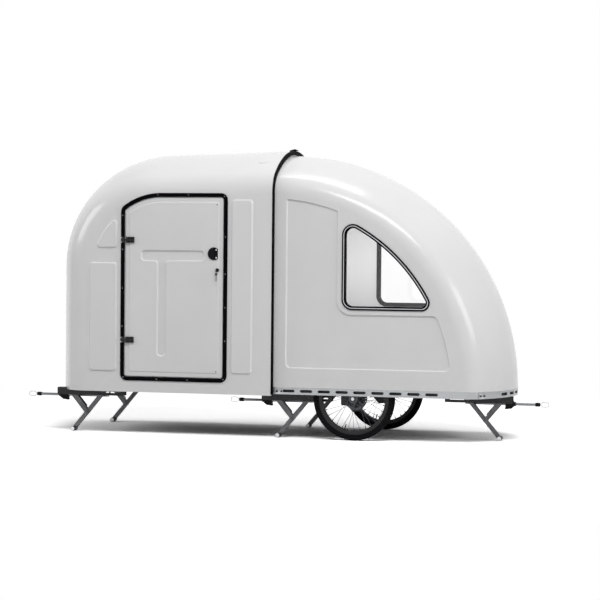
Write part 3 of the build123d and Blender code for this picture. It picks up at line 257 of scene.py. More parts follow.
def make_finishes(hexes):
    """All finishes by the record's slot names, and a few that only fittings use."""
    rubber, nylon, black = hexes.rubber, hexes.nylon, hexes.black_coat
    alloy, rail, tyre, board = hexes.alloy, hexes.rail, hexes.tyre, hexes.floor_panel
    return {
        "shell": gelcoat(hexes),
        # Sandwich floor board: matt, with a pebbled face of about 3 mm.
        "floor": finish("floor_board", (board, shade(board, 0.85)), (0.6, 0.75), 3, 0.3)[0],
        # Satin anodised extrusion: draw lines run along it, 1 mm apart to show.
        "rail": finish("anodised_aluminium", (rail, shade(rail, 0.93)), (0.28, 0.36), 1, 0.05, 1.0,
                       stretch=(0.03, 0.03, 1))[0],
        # Extruded rubber: near black, satin, with a skin of about 1.5 mm.
        "rubber": finish("extruded_rubber", (rubber, shade(rubber, 1.5)), (0.5, 0.62), 1.5, 0.06, gloss=0.02)[0],
        "pane": clear_acrylic(),
        # Black stove enamel over steel and alloy: slight flow marks.
        "black_metal": finish("black_enamel", (black, shade(black, 1.4)), (0.3, 0.42), 2.5, 0.05, gloss=0.3)[0],
        # Polished alloy and stainless steel: bright, finely brushed.
        "bright_metal": finish("polished_alloy", (alloy, shade(alloy, 0.88)), (0.18, 0.3), 0.8, 0.03, 1.0)[0],
        "grey_metal": leg_coat(hexes),
        # Glass-filled nylon: fine moulded grain, satin.
        "black_plastic": finish("moulded_nylon", (nylon, shade(nylon, 1.5)), (0.42, 0.55), 1.2, 0.08,
                                gloss=0.1)[0],
        # Tyre rubber: dull, a little dusty.
        "tyre": finish("tyre_rubber", (tyre, shade(tyre, 2)), (0.62, 0.8), 1.2, 0.12, tint_mm=25, gloss=0.08)[0],
        # Drawn steel: blackened on spokes, rotors and bolts, zinc plated with a soft shine on rods.
        "dark_steel": finish("blackened_steel", ("55575A", "3C3E41"), (0.28, 0.4), 1, 0.03, 1.0)[0],
        "rod": finish("zinc_steel", ("7E8083", "626467"), (0.25, 0.38), 1, 0.03, 1.0, stretch=(0.05, 1, 1))[0],
    }


FINISHES = {}


# Modelling helpers

def deselect():
    """Leaves edit mode and selects nothing."""
    if bpy.context.object and bpy.context.object.mode != "OBJECT":
        bpy.ops.object.mode_set(mode="OBJECT")
    bpy.ops.object.select_all(action="DESELECT")


def activate(obj):
    """Makes one object the only selected and active one."""
    deselect()
    obj.select_set(True)
    bpy.context.view_layer.objects.active = obj


def edit(obj):
    """Enters edit mode on one object with nothing selected."""
    activate(obj)
    bpy.ops.object.mode_set(mode="EDIT")
    bpy.ops.mesh.select_mode(type="FACE")
    bpy.ops.mesh.select_all(action="DESELECT")


def pick(obj, test):
    """Selects the faces that pass a test, in edit mode."""
    mesh = bmesh.from_edit_mesh(obj.data)
    mesh.select_mode = {"FACE"}
    for face in mesh.faces:
        face.select = bool(test(face))
    mesh.select_flush_mode()
    bmesh.update_edit_mesh(obj.data)


def object_mode():
    """Back to object mode."""
    bpy.ops.object.mode_set(mode="OBJECT")


def settle(obj, name, smooth=35):
    """Names a piece, puts its place into its mesh and smooths it."""
    activate(obj)
    bpy.ops.object.transform_apply(location=True, rotation=True, scale=True)
    bpy.ops.object.shade_smooth_by_angle(angle=math.radians(smooth))
    obj.name = name
    obj.data.name = name
    return obj


def dress(obj, body, slot):
    """Gives a piece its finish and the body that it rides on."""
    obj.data.materials.clear()
    obj.data.materials.append(FINISHES[slot])
    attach(obj, body)
    return obj


def bevel_edges(obj, width, segments=2, angle=40):
    """Rounds a piece's sharp edges and applies the modifier."""
    activate(obj)
    rounding = obj.modifiers.new("rounding", "BEVEL")
    rounding.width = width
    rounding.segments = segments
    rounding.limit_method = "ANGLE"
    rounding.angle_limit = math.radians(angle)
    bpy.ops.object.modifier_apply(modifier=rounding.name)


def copies(master, places, name):
    """Copies a piece modelled at the origin to each place, each with its own mesh, and joins the copies."""
    made = []
    for place in places:
        twin = master.copy()
        twin.data = master.data.copy()
        twin.data.transform(place)
        bpy.context.scene.collection.objects.link(twin)
        made.append(twin)
    bpy.data.objects.remove(master)
    deselect()
    for twin in made:
        twin.select_set(True)
    bpy.context.view_layer.objects.active = made[0]
    if len(made) > 1:
        bpy.ops.object.join()
    joined = bpy.context.object
    joined.name = name
    joined.data.name = name
    return joined


def cad_copy(node, name):
    """A free copy of a CAD node, its loose triangles merged."""
    twin = NODES[node].copy()
    twin.data = NODES[node].data.copy()
    twin.parent = None
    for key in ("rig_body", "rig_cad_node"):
        if key in twin:
            del twin[key]
    twin.name = name
    bpy.context.scene.collection.objects.link(twin)
    edit(twin)
    bpy.ops.mesh.select_all(action="SELECT")
    bpy.ops.mesh.remove_doubles(threshold=1e-5)
    bpy.ops.mesh.customdata_custom_splitnormals_clear()
    object_mode()
    return twin


def near_box(node, test):
    """Lowest and highest corner of a CAD node's points that pass a test."""
    found = [v.co for v in NODES[node].data.vertices if test(v.co)]
    if not found:
        raise RuntimeError("no points found on " + node)
    return (Vector(min(c[i] for c in found) for i in range(3)), Vector(max(c[i] for c in found) for i in range(3)))


def pan_head(radius, height):
    """Round screw head at the origin facing +Z, domed, with a round recess and an open back."""
    bpy.ops.mesh.primitive_cylinder_add(vertices=16, radius=radius, depth=height, location=(0, 0, height / 2))
    head = bpy.context.object
    edit(head)
    pick(head, lambda f: f.normal.z > 0.9)
    bpy.ops.mesh.inset(thickness=radius * 0.25, depth=height * 0.35)
    bpy.ops.mesh.inset(thickness=radius * 0.35, depth=0)
    bpy.ops.mesh.inset(thickness=radius * 0.08, depth=-height * 0.5)
    pick(head, lambda f: f.normal.z < -0.9)
    bpy.ops.mesh.delete(type="FACE")
    object_mode()
    return settle(head, "pan_head")


def facing(point, direction):
    """Placement that turns a piece's +Z to a direction and moves it to a point."""
    turn = Vector((0, 0, 1)).rotation_difference(Vector(direction)).to_matrix().to_4x4()
    return Matrix.Translation(Vector(point)) @ turn


# Operators, one per group of pieces

class CAMPER_OT_finishes(bpy.types.Operator):
    """Gives every CAD node its procedural finish"""

    bl_idname = "camper.finishes"
    bl_label = "Finishes"

    def execute(self, context):
        FINISHES.update(make_finishes(context.scene.camper_finishes))
        slots = {row["node"]: row["material_slot"] for row in frame["record"]["subparts"]}
        for name, obj in NODES.items():
            obj.data.materials.clear()
            obj.data.materials.append(FINISHES[self.darker(name) or slots[name]])
        return {"FINISHED"}

    def darker(self, name):
        """Nodes that show a darker finish than the rest of their slot."""
        if name.endswith(("_rotor", "_spokes")):
            return "dark_steel"
        if name.endswith(("_leg_tracks", "door_lock")) or name.startswith("door_hinge"):
            return "black_metal"
        return None


class CAMPER_OT_skirts(bpy.types.Operator):
    """Carries the door unit's shell a little below its floor, with a rounded lower edge"""

    bl_idname = "camper.skirts"
    bl_label = "Skirts"

    def execute(self, context):
        drop = context.scene.camper_fittings.skirt_drop
        for node in ("door_unit_hood", "door_unit_side_right", "door_unit_side_left"):
            skirt = cad_copy(node, "skirt_" + node)
            floor_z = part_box(node)[0].z
            edit(skirt)
            bpy.ops.mesh.select_all(action="SELECT")
            bpy.ops.mesh.bisect(
                plane_co=(0, 0, floor_z + drop), plane_no=(0, 0, 1), use_fill=True, clear_outer=True)
            bpy.ops.mesh.select_all(action="SELECT")
            bpy.ops.transform.translate(value=(0, 0, -drop))
            bpy.ops.mesh.normals_make_consistent(inside=False)
            object_mode()
            settle(skirt, "skirt_" + node)
            dress(skirt, "door_unit", "shell")
        return {"FINISHED"}


class CAMPER_OT_window_beads(bpy.types.Operator):
    """Lays a bright insert bead in each window's rubber seal"""

    bl_idname = "camper.window_beads"
    bl_label = "Window beads"

    def execute(self, context):
        sizes = context.scene.camper_fittings
        for hand, side in SIDES:
            seal = "window_seal_" + hand
            bead = cad_copy(seal, "window_bead_" + hand)
            low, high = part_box(seal)
            face_y = low.y if side < 0 else high.y
            edit(bead)
            pick(bead, lambda f: abs(f.calc_center_median().y - face_y) > 1e-4 or f.normal.y * side < 0.9)
            bpy.ops.mesh.delete(type="FACE")
            bpy.ops.mesh.select_all(action="SELECT")
            bpy.ops.mesh.inset(thickness=sizes.bead_inset, depth=0, use_boundary=True)
            bpy.ops.mesh.select_all(action="INVERT")
            bpy.ops.mesh.delete(type="FACE")
            bpy.ops.mesh.select_all(action="SELECT")
            bpy.ops.mesh.extrude_region_move(
                TRANSFORM_OT_translate={"value": (0, side * sizes.bead_height, 0)})
            bpy.ops.mesh.select_all(action="SELECT")
            bpy.ops.mesh.normals_make_consistent(inside=False)
            object_mode()
            settle(bead, "window_bead_" + hand, 50)
            dress(bead, "nose", "bright_metal")
        return {"FINISHED"}


class CAMPER_OT_door_fittings(bpy.types.Operator):
    """Adds the trim's studs, the hinge and handle screws and the hanging key"""

    bl_idname = "camper.door_fittings"
    bl_label = "Door fittings"

    def execute(self, context):
        sizes = context.scene.camper_fittings
        low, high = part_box("door_frame")
        self.trim_studs(sizes, low, high)
        self.hinge_screws(sizes, low)

        grip_low, grip_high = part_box("door_handle")
        base_y, in_from_end, half_pitch = grip_high.y - 0.005, 0.009, 0.024
        screw = pan_head(sizes.screw_radius, 0.0022)
        places = [facing((grip_high.x - in_from_end, base_y, (grip_low.z + grip_high.z) / 2 + up), DOOR_OUT)
                  for up in (-half_pitch, half_pitch)]
        dress(copies(screw, places, "handle_screws"), "door", "bright_metal")

        leaf_face, leaf_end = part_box("door_leaf")
        in_from_edge = 0.037
        heights = (leaf_face.z + in_from_edge, leaf_end.z - 0.040)
        screw = pan_head(sizes.stud_radius, 0.0016)
        places = [facing((leaf_end.x - in_from_edge, leaf_face.y, z), DOOR_OUT) for z in heights]
        dress(copies(screw, places, "leaf_screws"), "door", "dark_steel")
        self.hang_key()
        return {"FINISHED"}

    def trim_studs(self, sizes, low, high):
        """Studs along the middle of the trim, at shares of its width and height, and in three corners."""
        middle, corner = 0.012, 0.02
        width = high.x - low.x
        height = high.z - low.z
        spots = [(high.x - middle, high.z - height * s) for s in (0.231, 0.426, 0.603, 0.78)]
        spots += [(low.x + middle, high.z - height * s) for s in (0.12, 0.301, 0.507, 0.71)]
        spots += [(low.x + width * s, z) for s in (0.347, 0.635) for z in (high.z - middle, low.z + middle)]
        spots += [(high.x - corner, high.z - corner), (high.x - corner, low.z + corner)]
        spots += [(low.x + corner, low.z + corner)]
        stud = pan_head(sizes.stud_radius, 0.0016)
        studs = copies(stud, [facing((x, low.y, z), DOOR_OUT) for x, z in spots], "door_trim_studs")
        dress(studs, "door_unit", "rod")

    def hinge_screws(self, sizes, frame_low):
        """Two screws on each hinge post and four on each hinge leaf."""
        posts_low, posts_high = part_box("door_hinge_posts")
        half_post = 0.018
        heights = (posts_low.z + half_post, posts_high.z - half_post)
        screw = pan_head(sizes.screw_radius, 0.0022)
        places = [facing((frame_low.x + 0.0075, frame_low.y, z + up), DOOR_OUT)
                  for z in heights for up in (-0.013, 0.013)]
        dress(copies(screw, places, "hinge_post_screws"), "door_unit", "bright_metal")

        leaf_low, leaf_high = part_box("door_hinge_leaves")
        leaf_y = leaf_low.y + 0.006
        screw = pan_head(sizes.screw_radius, 0.0022)
        places = [facing((leaf_high.x - x, leaf_y, z + up), DOOR_OUT)
                  for z in heights for up in (-0.010, 0.010) for x in (0.012, 0.034)]
        dress(copies(screw, places, "hinge_leaf_screws"), "door", "black_plastic")

    def hang_key(self):
        """A flat key on a split ring below the lock's own key."""
        low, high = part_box("door_lock")
        x = (low.x + high.x) / 2
        y = low.y + 0.011
        ring_z = low.z + 0.002
        bpy.ops.mesh.primitive_torus_add(
            major_segments=32, minor_segments=8, major_radius=0.009, minor_radius=0.0009,
            location=(x, y, ring_z), rotation=(math.pi / 2, 0, 0))
        ring = bpy.context.object
        bpy.ops.object.transform_apply(location=True, rotation=True, scale=True)
        bpy.ops.mesh.primitive_cylinder_add(
            vertices=24, radius=0.0085, depth=0.002, location=(x, y - 0.003, ring_z - 0.0165),
            rotation=(math.pi / 2, 0, 0))
        key = bpy.context.object
        bpy.ops.object.transform_apply(location=True, rotation=True, scale=True)
        edit(key)
        pick(key, lambda f: f.normal.z < -0.93)
        bpy.ops.mesh.extrude_region_move(TRANSFORM_OT_translate={"value": (0, 0, -0.03)})
        bpy.ops.mesh.extrude_region_move(TRANSFORM_OT_translate={"value": (0, 0, -0.003)})
        object_mode()
        bevel_edges(key, 0.0004, 2, 50)
        deselect()
        ring.select_set(True)
        key.select_set(True)
        bpy.context.view_layer.objects.active = key
        bpy.ops.object.join()
        settle(key, "door_key")
        dress(key, "door", "dark_steel")


class CAMPER_OT_tyres(bpy.types.Operator):
    """Models each tyre with its beads, sidewalls and tread blocks"""

    bl_idname = "camper.tyres"
    bl_label = "Tyres"
    section = 40

    def execute(self, context):
        sizes = context.scene.camper_fittings
        for hand, _ in SIDES:
            node = f"wheel_{hand}_tyre"
            low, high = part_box(node)
            centre = (low + high) / 2
            radius = (high.z - low.z) / 2
            tube = (high.y - low.y) / 2 - sizes.tread_depth
            ring = radius - tube - sizes.tread_depth
            bead = radius - 0.0345
            bpy.ops.mesh.primitive_circle_add(
                vertices=self.section, radius=tube, location=(centre.x, centre.y, centre.z + ring),
                rotation=(0, math.pi / 2, 0))
            tyre = bpy.context.object
            bpy.ops.object.transform_apply(location=True, rotation=True, scale=True)
            edit(tyre)
            bpy.ops.mesh.select_mode(type="VERT")
            mesh = bmesh.from_edit_mesh(tyre.data)
            for v in mesh.verts:
                v.select_set(v.co.z < centre.z + bead)
            mesh.select_flush(True)
            bmesh.update_edit_mesh(tyre.data)
            bpy.ops.mesh.delete(type="VERT")
            bpy.ops.mesh.select_all(action="SELECT")
            bpy.ops.mesh.spin(steps=sizes.tread_steps, angle=2 * math.pi, center=centre, axis=(0, 1, 0))
            bpy.ops.mesh.select_all(action="SELECT")
            bpy.ops.mesh.remove_doubles(threshold=1e-5)
            bpy.ops.mesh.select_all(action="DESELECT")
            bpy.ops.mesh.select_mode(type="EDGE")
            mesh = bmesh.from_edit_mesh(tyre.data)
            for e in mesh.edges:
                e.select_set(e.is_boundary)
            bmesh.update_edit_mesh(tyre.data)
            bpy.ops.mesh.bridge_edge_loops()
            bpy.ops.mesh.select_all(action="SELECT")
            bpy.ops.mesh.normals_make_consistent(inside=False)
            bpy.ops.mesh.select_mode(type="FACE")
            step = 2 * math.pi / sizes.tread_steps

            def on_tread(face):
                """Blocks across the crown, in a stagger."""
                c = face.calc_center_median() - centre
                out = math.hypot(c.x, c.z) - ring
                if out < tube * 0.62:
                    return False
                row = round(math.atan2(c.y, out) / (2 * math.pi / self.section) - 0.5)
                turn = math.floor(math.atan2(c.z, c.x) / step)
                return (turn + row // 2) % 2 == 0 or row in (-1, 0)

            pick(tyre, on_tread)
            bpy.ops.mesh.inset(thickness=0.0006, depth=sizes.tread_depth, use_individual=True)

            def on_wall(face):
                """A raised ring on each sidewall."""
                c = face.calc_center_median() - centre
                angle = abs(math.atan2(c.y, math.hypot(c.x, c.z) - ring))
                return math.radians(92) < angle < math.radians(101)

            pick(tyre, on_wall)
            bpy.ops.mesh.inset(thickness=0.0004, depth=0.0007)
            object_mode()
            settle(tyre, f"tyre_{hand}", 32)
            dress(tyre, "wheel_" + hand, "tyre")
            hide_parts(node)
        return {"FINISHED"}


class CAMPER_OT_wheel_fittings(bpy.types.Operator):
    """Adds spoke nipples, a valve and a hub shell to each wheel"""

    bl_idname = "camper.wheel_fittings"
    bl_label = "Wheel fittings"
    spokes = 32

    def execute(self, context):
        for hand, side in SIDES:
            low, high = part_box(f"wheel_{hand}_rim")
            centre = (low + high) / 2
            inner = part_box(f"wheel_{hand}_spokes")[1].z - centre.z
            bpy.ops.mesh.primitive_cylinder_add(vertices=8, radius=0.0026, depth=0.012, location=(0, 0, -0.005))
            nipple = bpy.context.object
            edit(nipple)
            pick(nipple, lambda f: f.normal.z < -0.9)
            bpy.ops.mesh.inset(thickness=0.0009, depth=0.0015)
            pick(nipple, lambda f: f.normal.z > 0.9)
            bpy.ops.mesh.inset(thickness=0.0004, depth=0.0008)
            object_mode()
            settle(nipple, "nipple")
            places = []
            for i in range(self.spokes):
                turn = 2 * math.pi * i / self.spokes
                reach = Vector((math.cos(turn), 0, -side * math.sin(turn)))
                offset = side * (0.004 if i % 2 else -0.004)
                places.append(facing(centre + reach * inner + Vector((0, offset, 0)), reach))
            dress(copies(nipple, places, f"spoke_nipples_{hand}"), "wheel_" + hand, "dark_steel")
            self.valve(hand, centre, inner)
            self.hub(hand, centre)
        return {"FINISHED"}

    def hub(self, hand, centre):
        """Black hub shell with two spoke flanges, end bosses and a bore for the axle."""
        bpy.ops.mesh.primitive_cylinder_add(
            vertices=40, radius=0.0165, depth=0.043, location=centre, rotation=(math.pi / 2, 0, 0))
        hub = bpy.context.object
        bpy.ops.object.transform_apply(location=True, rotation=True, scale=True)
        edit(hub)
        pick(hub, lambda f: abs(f.normal.y) > 0.9)
        bpy.ops.mesh.extrude_region_move(TRANSFORM_OT_translate={"value": (0, 0, 0)})
        bpy.ops.transform.resize(value=(1.73, 1, 1.73), center_override=centre)
        for thickness, depth in ((0.0006, 0.005), (0.012, 0), (0.0005, 0.004), (0.0088, 0)):
            bpy.ops.mesh.inset(thickness=thickness, depth=depth)
        bpy.ops.mesh.bridge_edge_loops()
        bpy.ops.mesh.select_all(action="SELECT")
        bpy.ops.mesh.normals_make_consistent(inside=False)
        object_mode()
        settle(hub, f"hub_shell_{hand}")
        dress(hub, "wheel_" + hand, "black_metal")

    def valve(self, hand, centre, inner):
        """A tube valve with its cap, standing in from the rim."""
        turn = math.radians(-107)
        reach = Vector((math.cos(turn), 0, math.sin(turn)))
        bpy.ops.mesh.primitive_cylinder_add(vertices=16, radius=0.0034, depth=0.022, location=(0, 0, 0.011))
        stem = bpy.context.object
        edit(stem)
        pick(stem, lambda f: f.normal.z > 0.9)
        bpy.ops.mesh.inset(thickness=-0.0009, depth=0)
        bpy.ops.mesh.extrude_region_move(TRANSFORM_OT_translate={"value": (0, 0, 0.009)})
        bpy.ops.mesh.inset(thickness=0.0014, depth=0.0016)
        object_mode()
        settle(stem, "stem")
        valve = copies(stem, [facing(centre + reach * (inner + 0.001), -reach)], f"tyre_valve_{hand}")
        dress(valve, "wheel_" + hand, "black_plastic")


class CAMPER_OT_rail_fittings(bpy.types.Operator):
    """Adds the rail's upper lip and its joint plates with bolts"""

    bl_idname = "camper.rail_fittings"
    bl_label = "Rail fittings"

    def execute(self, context):
        sizes = context.scene.camper_fittings
        low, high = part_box("nose_rail")
        lip = cad_copy("nose_rail", "rail_lip")
        edit(lip)
        bpy.ops.mesh.select_all(action="SELECT")
        bpy.ops.mesh.bisect(
            plane_co=(0, 0, high.z - sizes.lip_height), plane_no=(0, 0, 1), use_fill=True, clear_inner=True)
        bpy.ops.mesh.select_all(action="SELECT")
        bpy.ops.mesh.normals_make_consistent(inside=False)
        pick(lip, lambda f: abs(f.normal.z) < 0.5)
        bpy.ops.transform.shrink_fatten(value=sizes.lip_stand)
        object_mode()
        settle(lip, "rail_lip")
        dress(lip, "nose", "rail")

        bpy.ops.mesh.primitive_cube_add(size=1, location=(0, 0, 0.002))
        plate = bpy.context.object
        plate.scale = (0.046, 0.028, 0.004)
        bpy.ops.object.transform_apply(location=True, rotation=True, scale=True)
        bevel_edges(plate, 0.0012, 2)
        settle(plate, "plate")
        middle = (low.z + high.z) / 2 - 0.003
        seam_plate_x, corner_x, corner_y = 0.052, 1.2713, 0.4183
        places = []
        for _, side in SIDES:
            places.append(facing((seam_plate_x, low.y if side < 0 else high.y, middle), (0, side, 0)))
            away = Vector((0.3, side * 0.5, 0))
            start = Vector((corner_x, side * corner_y, middle)) + away
            hit, point, normal, _ = NODES["nose_rail"].ray_cast(start, -away.normalized())
            if not hit:
                raise RuntimeError("the rail's corner wasn't found")
            along = Vector((0, 0, 1)).cross(normal)
            turn = Matrix((along, Vector((0, 0, 1)), normal)).transposed().to_4x4()
            places.append(Matrix.Translation(point) @ turn)
        plates = copies(plate, places, "rail_joint_plates")
        dress(plates, "nose", "rail")
        bolt = pan_head(0.0062, 0.0042)
        heads = [place @ Matrix.Translation((x, 0, 0.004)) for place in places for x in (-0.014, 0.014)]
        dress(copies(bolt, heads, "rail_joint_bolts"), "nose", "black_metal")
        return {"FINISHED"}


class CAMPER_OT_leg_fittings(bpy.types.Operator):
    """Adds rod caps and sleeves, foot plugs and pivot bolts to the leg units"""

    bl_idname = "camper.leg_fittings"
    bl_label = "Leg fittings"

    def execute(self, context):
        sizes = context.scene.camper_fittings
        for name in LEG_NAMES:
            out = 1 if name == "front" else -1
            low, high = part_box("rod_" + name)
            loop = 0.057
            tip = high.x - loop if out > 0 else low.x + loop
            ends = near_box("rod_" + name, lambda c: abs(c.x - tip + out * 0.03) < 0.02)
            axis_y, axis_z = (ends[0].y + ends[1].y) / 2, (ends[0].z + ends[1].z) / 2
            bpy.ops.mesh.primitive_cylinder_add(vertices=32, radius=sizes.cap_radius, depth=0.026)
            cap = bpy.context.object
            edit(cap)
            pick(cap, lambda f: f.normal.z > 0.9)
            bpy.ops.mesh.inset(thickness=0.002, depth=0.002)
            pick(cap, lambda f: f.normal.z < -0.9)
            bpy.ops.mesh.inset(thickness=0.003, depth=0.0012)
            object_mode()
            bevel_edges(cap, 0.0008)
            settle(cap, "cap")
            place = facing((tip - out * 0.012, axis_y, axis_z), (out, 0, 0))
            dress(copies(cap, [place], "rod_cap_" + name), "rod_" + name, "black_plastic")

            self.sleeve(name, out, axis_y, axis_z)
            self.foot_plugs(name)
            self.pivot_bolts(name, out)
        return {"FINISHED"}

    def sleeve(self, name, out, y, z):
        """A short black tube on the clamp, round the rod."""
        clamp = name.split("_")[0] + "_rod_clamps"
        low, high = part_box(clamp)
        end = high.x if out > 0 else low.x
        bpy.ops.mesh.primitive_cylinder_add(vertices=32, radius=0.0125, depth=0.012)
        tube = bpy.context.object
        edit(tube)
        pick(tube, lambda f: abs(f.normal.z) > 0.9)
        bpy.ops.mesh.inset(thickness=0.0035, depth=0)
        bpy.ops.mesh.bridge_edge_loops()
        object_mode()
        bevel_edges(tube, 0.0009)
        settle(tube, "tube")
        place = facing((end + out * 0.006, y, z), (out, 0, 0))
        body = "door_unit" if name.startswith("rear") else "nose"
        dress(copies(tube, [place], "rod_sleeve_" + name), body, "black_plastic")

    def foot_plugs(self, name):
        """Moulded plugs in both ends of a foot, each with a hole."""
        low, high = near_box("leg_" + name, lambda c: c.z < 0.012)
        bpy.ops.mesh.primitive_cylinder_add(vertices=28, radius=0.0128, depth=0.0008, location=(0, 0, 0.0004))
        plug = bpy.context.object
        edit(plug)
        pick(plug, lambda f: f.normal.z > 0.9)
        bpy.ops.mesh.inset(thickness=0.0008, depth=0.0003)
        bpy.ops.mesh.inset(thickness=0.0045, depth=0)
        bpy.ops.mesh.inset(thickness=0.0003, depth=-0.0008)
        object_mode()
        settle(plug, "plug")
        middle = (low + high) / 2
        places = [facing((middle.x, y, FOOT_HEIGHT), (0, way, 0)) for y, way in ((low.y, -1), (high.y, 1))]
        dress(copies(plug, places, "foot_plugs_" + name), "leg_" + name, "bright_metal")

    def pivot_bolts(self, name, out):
        """Hexagon heads on both sides of a leg, at its pivot on the brace."""
        low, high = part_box("brace_" + name)
        bpy.ops.mesh.primitive_cylinder_add(vertices=6, radius=0.0085, depth=0.0010, location=(0, 0, 0.0005))
        head = bpy.context.object
        edit(head)
        pick(head, lambda f: f.normal.z > 0.9)
        bpy.ops.mesh.inset(thickness=0.0012, depth=0.0003)
        object_mode()
        settle(head, "head", 25)
        inset = 0.0125
        low_pin = (low.x + inset if out > 0 else high.x - inset, low.z + inset)
        places = []
        for y, way in ((low.y, -1), (high.y, 1)):
            places.append(facing((low_pin[0], y + way * 0.003, low_pin[1]), (0, way, 0)))
        dress(copies(head, places, "leg_pivot_bolts_" + name), "leg_" + name, "dark_steel")


class CAMPER_OT_roof_fittings(bpy.types.Operator):
    """Adds the oval plug on the roof"""

    bl_idname = "camper.roof_fittings"
    bl_label = "Roof fittings"

    def execute(self, context):
        bpy.ops.mesh.primitive_cylinder_add(vertices=32, radius=0.022, depth=0.004, location=(0, 0, 0.0))
        plug = bpy.context.object
        edit(plug)
        pick(plug, lambda f: f.normal.z > 0.9)
        bpy.ops.mesh.inset(thickness=0.004, depth=0.0012)
        bpy.ops.mesh.inset(thickness=0.005, depth=-0.0014)
        object_mode()
        plug.scale = (1.5, 1.0, 1.0)
        settle(plug, "plug")
        hood = NODES["door_unit_hood"]
        hit, point, normal, _ = hood.ray_cast(Vector((-0.099, -0.324, 2.5)), Vector((0, 0, -1)))
        if not hit:
            raise RuntimeError("the roof wasn't found under the plug")
        dress(copies(plug, [facing(point, normal)], "roof_plug"), "door_unit", "shell")
        return {"FINISHED"}


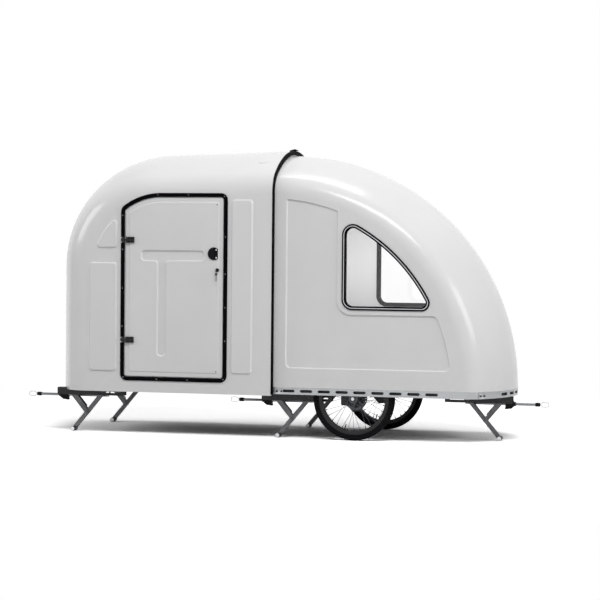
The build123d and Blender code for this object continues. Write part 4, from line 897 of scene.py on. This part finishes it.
class CAMPER_OT_studio(bpy.types.Operator):
    """Sets up the camera, the pale floor and the soft light"""

    bl_idname = "camper.studio"
    bl_label = "Studio"

    def execute(self, context):
        studio = context.scene.camper_studio
        scene = context.scene
        scene.view_settings.view_transform = "Standard"
        self.camera(scene, studio)
        self.floor()
        self.sky(scene, studio)
        self.lamps(scene, studio)
        return {"FINISHED"}

    def camera(self, scene, studio):
        """Camera at the photograph's place and angle."""
        right = Vector((math.cos(studio.yaw), math.sin(studio.yaw), 0))
        level = Vector((-math.sin(studio.yaw), math.cos(studio.yaw), 0))
        up = Vector((0, 0, 1))
        ahead = level * math.cos(studio.pitch) - up * math.sin(studio.pitch)
        over = level * math.sin(studio.pitch) + up * math.cos(studio.pitch)
        tilted = right * math.cos(studio.roll) + over * math.sin(studio.roll)
        over = over * math.cos(studio.roll) - right * math.sin(studio.roll)
        lens = bpy.data.cameras.new("studio_camera")
        lens.lens = studio.lens
        lens.sensor_width = 36
        lens.clip_end = 200
        eye = bpy.data.objects.new("studio_camera", lens)
        scene.collection.objects.link(eye)
        turn = Matrix((tilted, over, -ahead)).transposed().to_4x4()
        eye.matrix_world = Matrix.Translation(studio.place) @ turn
        scene.camera = eye

    def floor(self):
        """Wide pale floor, white far out and shaded under the camper."""
        bpy.ops.mesh.primitive_plane_add(size=120, location=(0, 0, -0.0005))
        ground = bpy.context.object
        ground.name = "studio_floor"
        mat = bpy.data.materials.new("painted_floor")
        mat.use_nodes = True
        tree = mat.node_tree
        tree.nodes.remove(tree.nodes["Principled BSDF"])
        # Matt white paint: even, and as white as the backdrop where the camera sees it unshaded.
        path = add_node(tree, "ShaderNodeLightPath")
        looked = path.outputs["Is Camera Ray"]
        for ray in ("Is Transmission Ray", "Is Glossy Ray"):
            looked = add_node(tree, "ShaderNodeMath", {"operation": "MAXIMUM"}, i0=looked,
                              i1=path.outputs[ray]).outputs[0]
        slow = grain(tree, 900)
        tint = add_node(tree, "ShaderNodeMapRange", Value=slow.outputs[0], i1=NOISE_LOW, i2=NOISE_HIGH)
        paint = add_node(tree, "ShaderNodeMix", {"data_type": "RGBA"}, Factor=tint.outputs[0],
                         i6=linear("C9C9C9"), i7=linear("C6C6C6"))
        gain = add_node(tree, "ShaderNodeMapRange", Value=looked, i3=1.0, i4=CAMERA_GAIN)
        seen = add_node(tree, "ShaderNodeVectorMath", {"operation": "SCALE"}, Vector=paint.outputs[2],
                        Scale=gain.outputs[0])
        matt = add_node(tree, "ShaderNodeBsdfDiffuse", Color=seen.outputs[0])
        white = add_node(tree, "ShaderNodeEmission")
        coords = add_node(tree, "ShaderNodeTexCoord")
        reach = add_node(tree, "ShaderNodeVectorMath", {"operation": "LENGTH"}, Vector=coords.outputs["Object"])
        far = add_node(tree, "ShaderNodeMapRange", Value=reach.outputs["Value"], i1=2.2, i2=4.5)
        fade = add_node(tree, "ShaderNodeMath", {"operation": "MULTIPLY"}, i0=far.outputs[0], i1=looked)
        mixed = add_node(tree, "ShaderNodeMixShader", Fac=fade.outputs[0], i1=matt.outputs[0], i2=white.outputs[0])
        tree.links.new(mixed.outputs[0], tree.nodes["Material Output"].inputs["Surface"])
        ground.data.materials.append(mat)

    def sky(self, scene, studio):
        """Even sky, white where the camera, gloss or glass looks at it."""
        world = bpy.data.worlds.new("studio_sky")
        world.use_nodes = True
        scene.world = world
        tree = world.node_tree
        back = tree.nodes["Background"]
        path = add_node(tree, "ShaderNodeLightPath")
        seen = path.outputs["Is Camera Ray"]
        for ray in ("Is Glossy Ray", "Is Transmission Ray"):
            seen = add_node(tree, "ShaderNodeMath", {"operation": "MAXIMUM"}, i0=seen,
                            i1=path.outputs[ray]).outputs[0]
        coords = add_node(tree, "ShaderNodeTexCoord")
        parts = add_node(tree, "ShaderNodeSeparateXYZ", Vector=coords.outputs["Generated"])
        lit = add_node(tree, "ShaderNodeMapRange", Value=parts.outputs[2], i1=0.2, i2=0.6, i3=studio.sky * 0.05,
                       i4=studio.sky)
        level = add_node(tree, "ShaderNodeMapRange", Value=seen, i1=0.0, i2=1.0, i3=lit.outputs[0], i4=1.0)
        back.inputs["Color"].default_value = (1, 1, 1, 1)
        tree.links.new(level.outputs[0], back.inputs["Strength"])

    def lamps(self, scene, studio):
        """Softboxes overhead, in front and at both ends, and a weak lamp inside the nose."""
        for name, power, size, place, aim in (
            ("overhead_softbox", studio.top_power, (2.6, 1.4), (0.2, 0.7, 6), (0, 0, -1)),
            ("front_softbox", studio.front_power, (5, 2), (2.4, -5.6, 7.4), (-0.25, 0.62, -0.72)),
            ("nose_softbox", studio.side_power, (4, 3), (8, -2.5, 4), (-0.85, 0.25, -0.4)),
            ("rear_softbox", studio.side_power, (4, 3), (-8, -2.5, 4), (0.85, 0.25, -0.4)),
        ):
            soft = bpy.data.lights.new(name, "AREA")
            soft.shape = "RECTANGLE"
            soft.size, soft.size_y = size
            soft.energy = power
            box = bpy.data.objects.new(name, soft)
            turn = Vector(aim).to_track_quat("-Z", "Y").to_matrix().to_4x4()
            box.matrix_world = Matrix.Translation(place) @ turn
            scene.collection.objects.link(box)
        inside = bpy.data.lights.new("cabin_lamp", "POINT")
        inside.energy = studio.cabin_power
        inside.shadow_soft_size = 0.2
        lamp = bpy.data.objects.new("cabin_lamp", inside)
        lamp.location = (0.35, 0.0, 1.05)
        lamp.visible_camera = lamp.visible_glossy = lamp.visible_transmission = False
        scene.collection.objects.link(lamp)


PIECE_OPERATORS = (
    CAMPER_OT_finishes,
    CAMPER_OT_skirts,
    CAMPER_OT_window_beads,
    CAMPER_OT_door_fittings,
    CAMPER_OT_tyres,
    CAMPER_OT_wheel_fittings,
    CAMPER_OT_rail_fittings,
    CAMPER_OT_leg_fittings,
    CAMPER_OT_roof_fittings,
    CAMPER_OT_studio,
)


class CAMPER_PT_panel(bpy.types.Panel):
    """Lists the camper's groups of pieces"""

    bl_idname = "CAMPER_PT_panel"
    bl_label = "Bicycle Camper"
    bl_space_type = "VIEW_3D"
    bl_region_type = "UI"
    bl_category = "Camper"

    def draw(self, context):
        for operator in PIECE_OPERATORS:
            self.layout.operator(operator.bl_idname)


GROUPS = (CamperFinishes, CamperFittings, CamperStudio)
CLASSES = (*GROUPS, *PIECE_OPERATORS, CAMPER_PT_panel)


def register():
    """Registers the classes and hangs the settings on the scene."""
    for cls in CLASSES:
        bpy.utils.register_class(cls)
    bpy.types.Scene.camper_finishes = bpy.props.PointerProperty(type=CamperFinishes)
    bpy.types.Scene.camper_fittings = bpy.props.PointerProperty(type=CamperFittings)
    bpy.types.Scene.camper_studio = bpy.props.PointerProperty(type=CamperStudio)


def unregister():
    """Takes it all back."""
    del bpy.types.Scene.camper_studio
    del bpy.types.Scene.camper_fittings
    del bpy.types.Scene.camper_finishes
    for cls in reversed(CLASSES):
        bpy.utils.unregister_class(cls)


def main():
    """Builds the dressed camper."""
    register()
    deselect()
    for operator in PIECE_OPERATORS:
        group, action = operator.bl_idname.split(".")
        getattr(getattr(bpy.ops, group), action)()


if __name__ == "__main__":
    main()
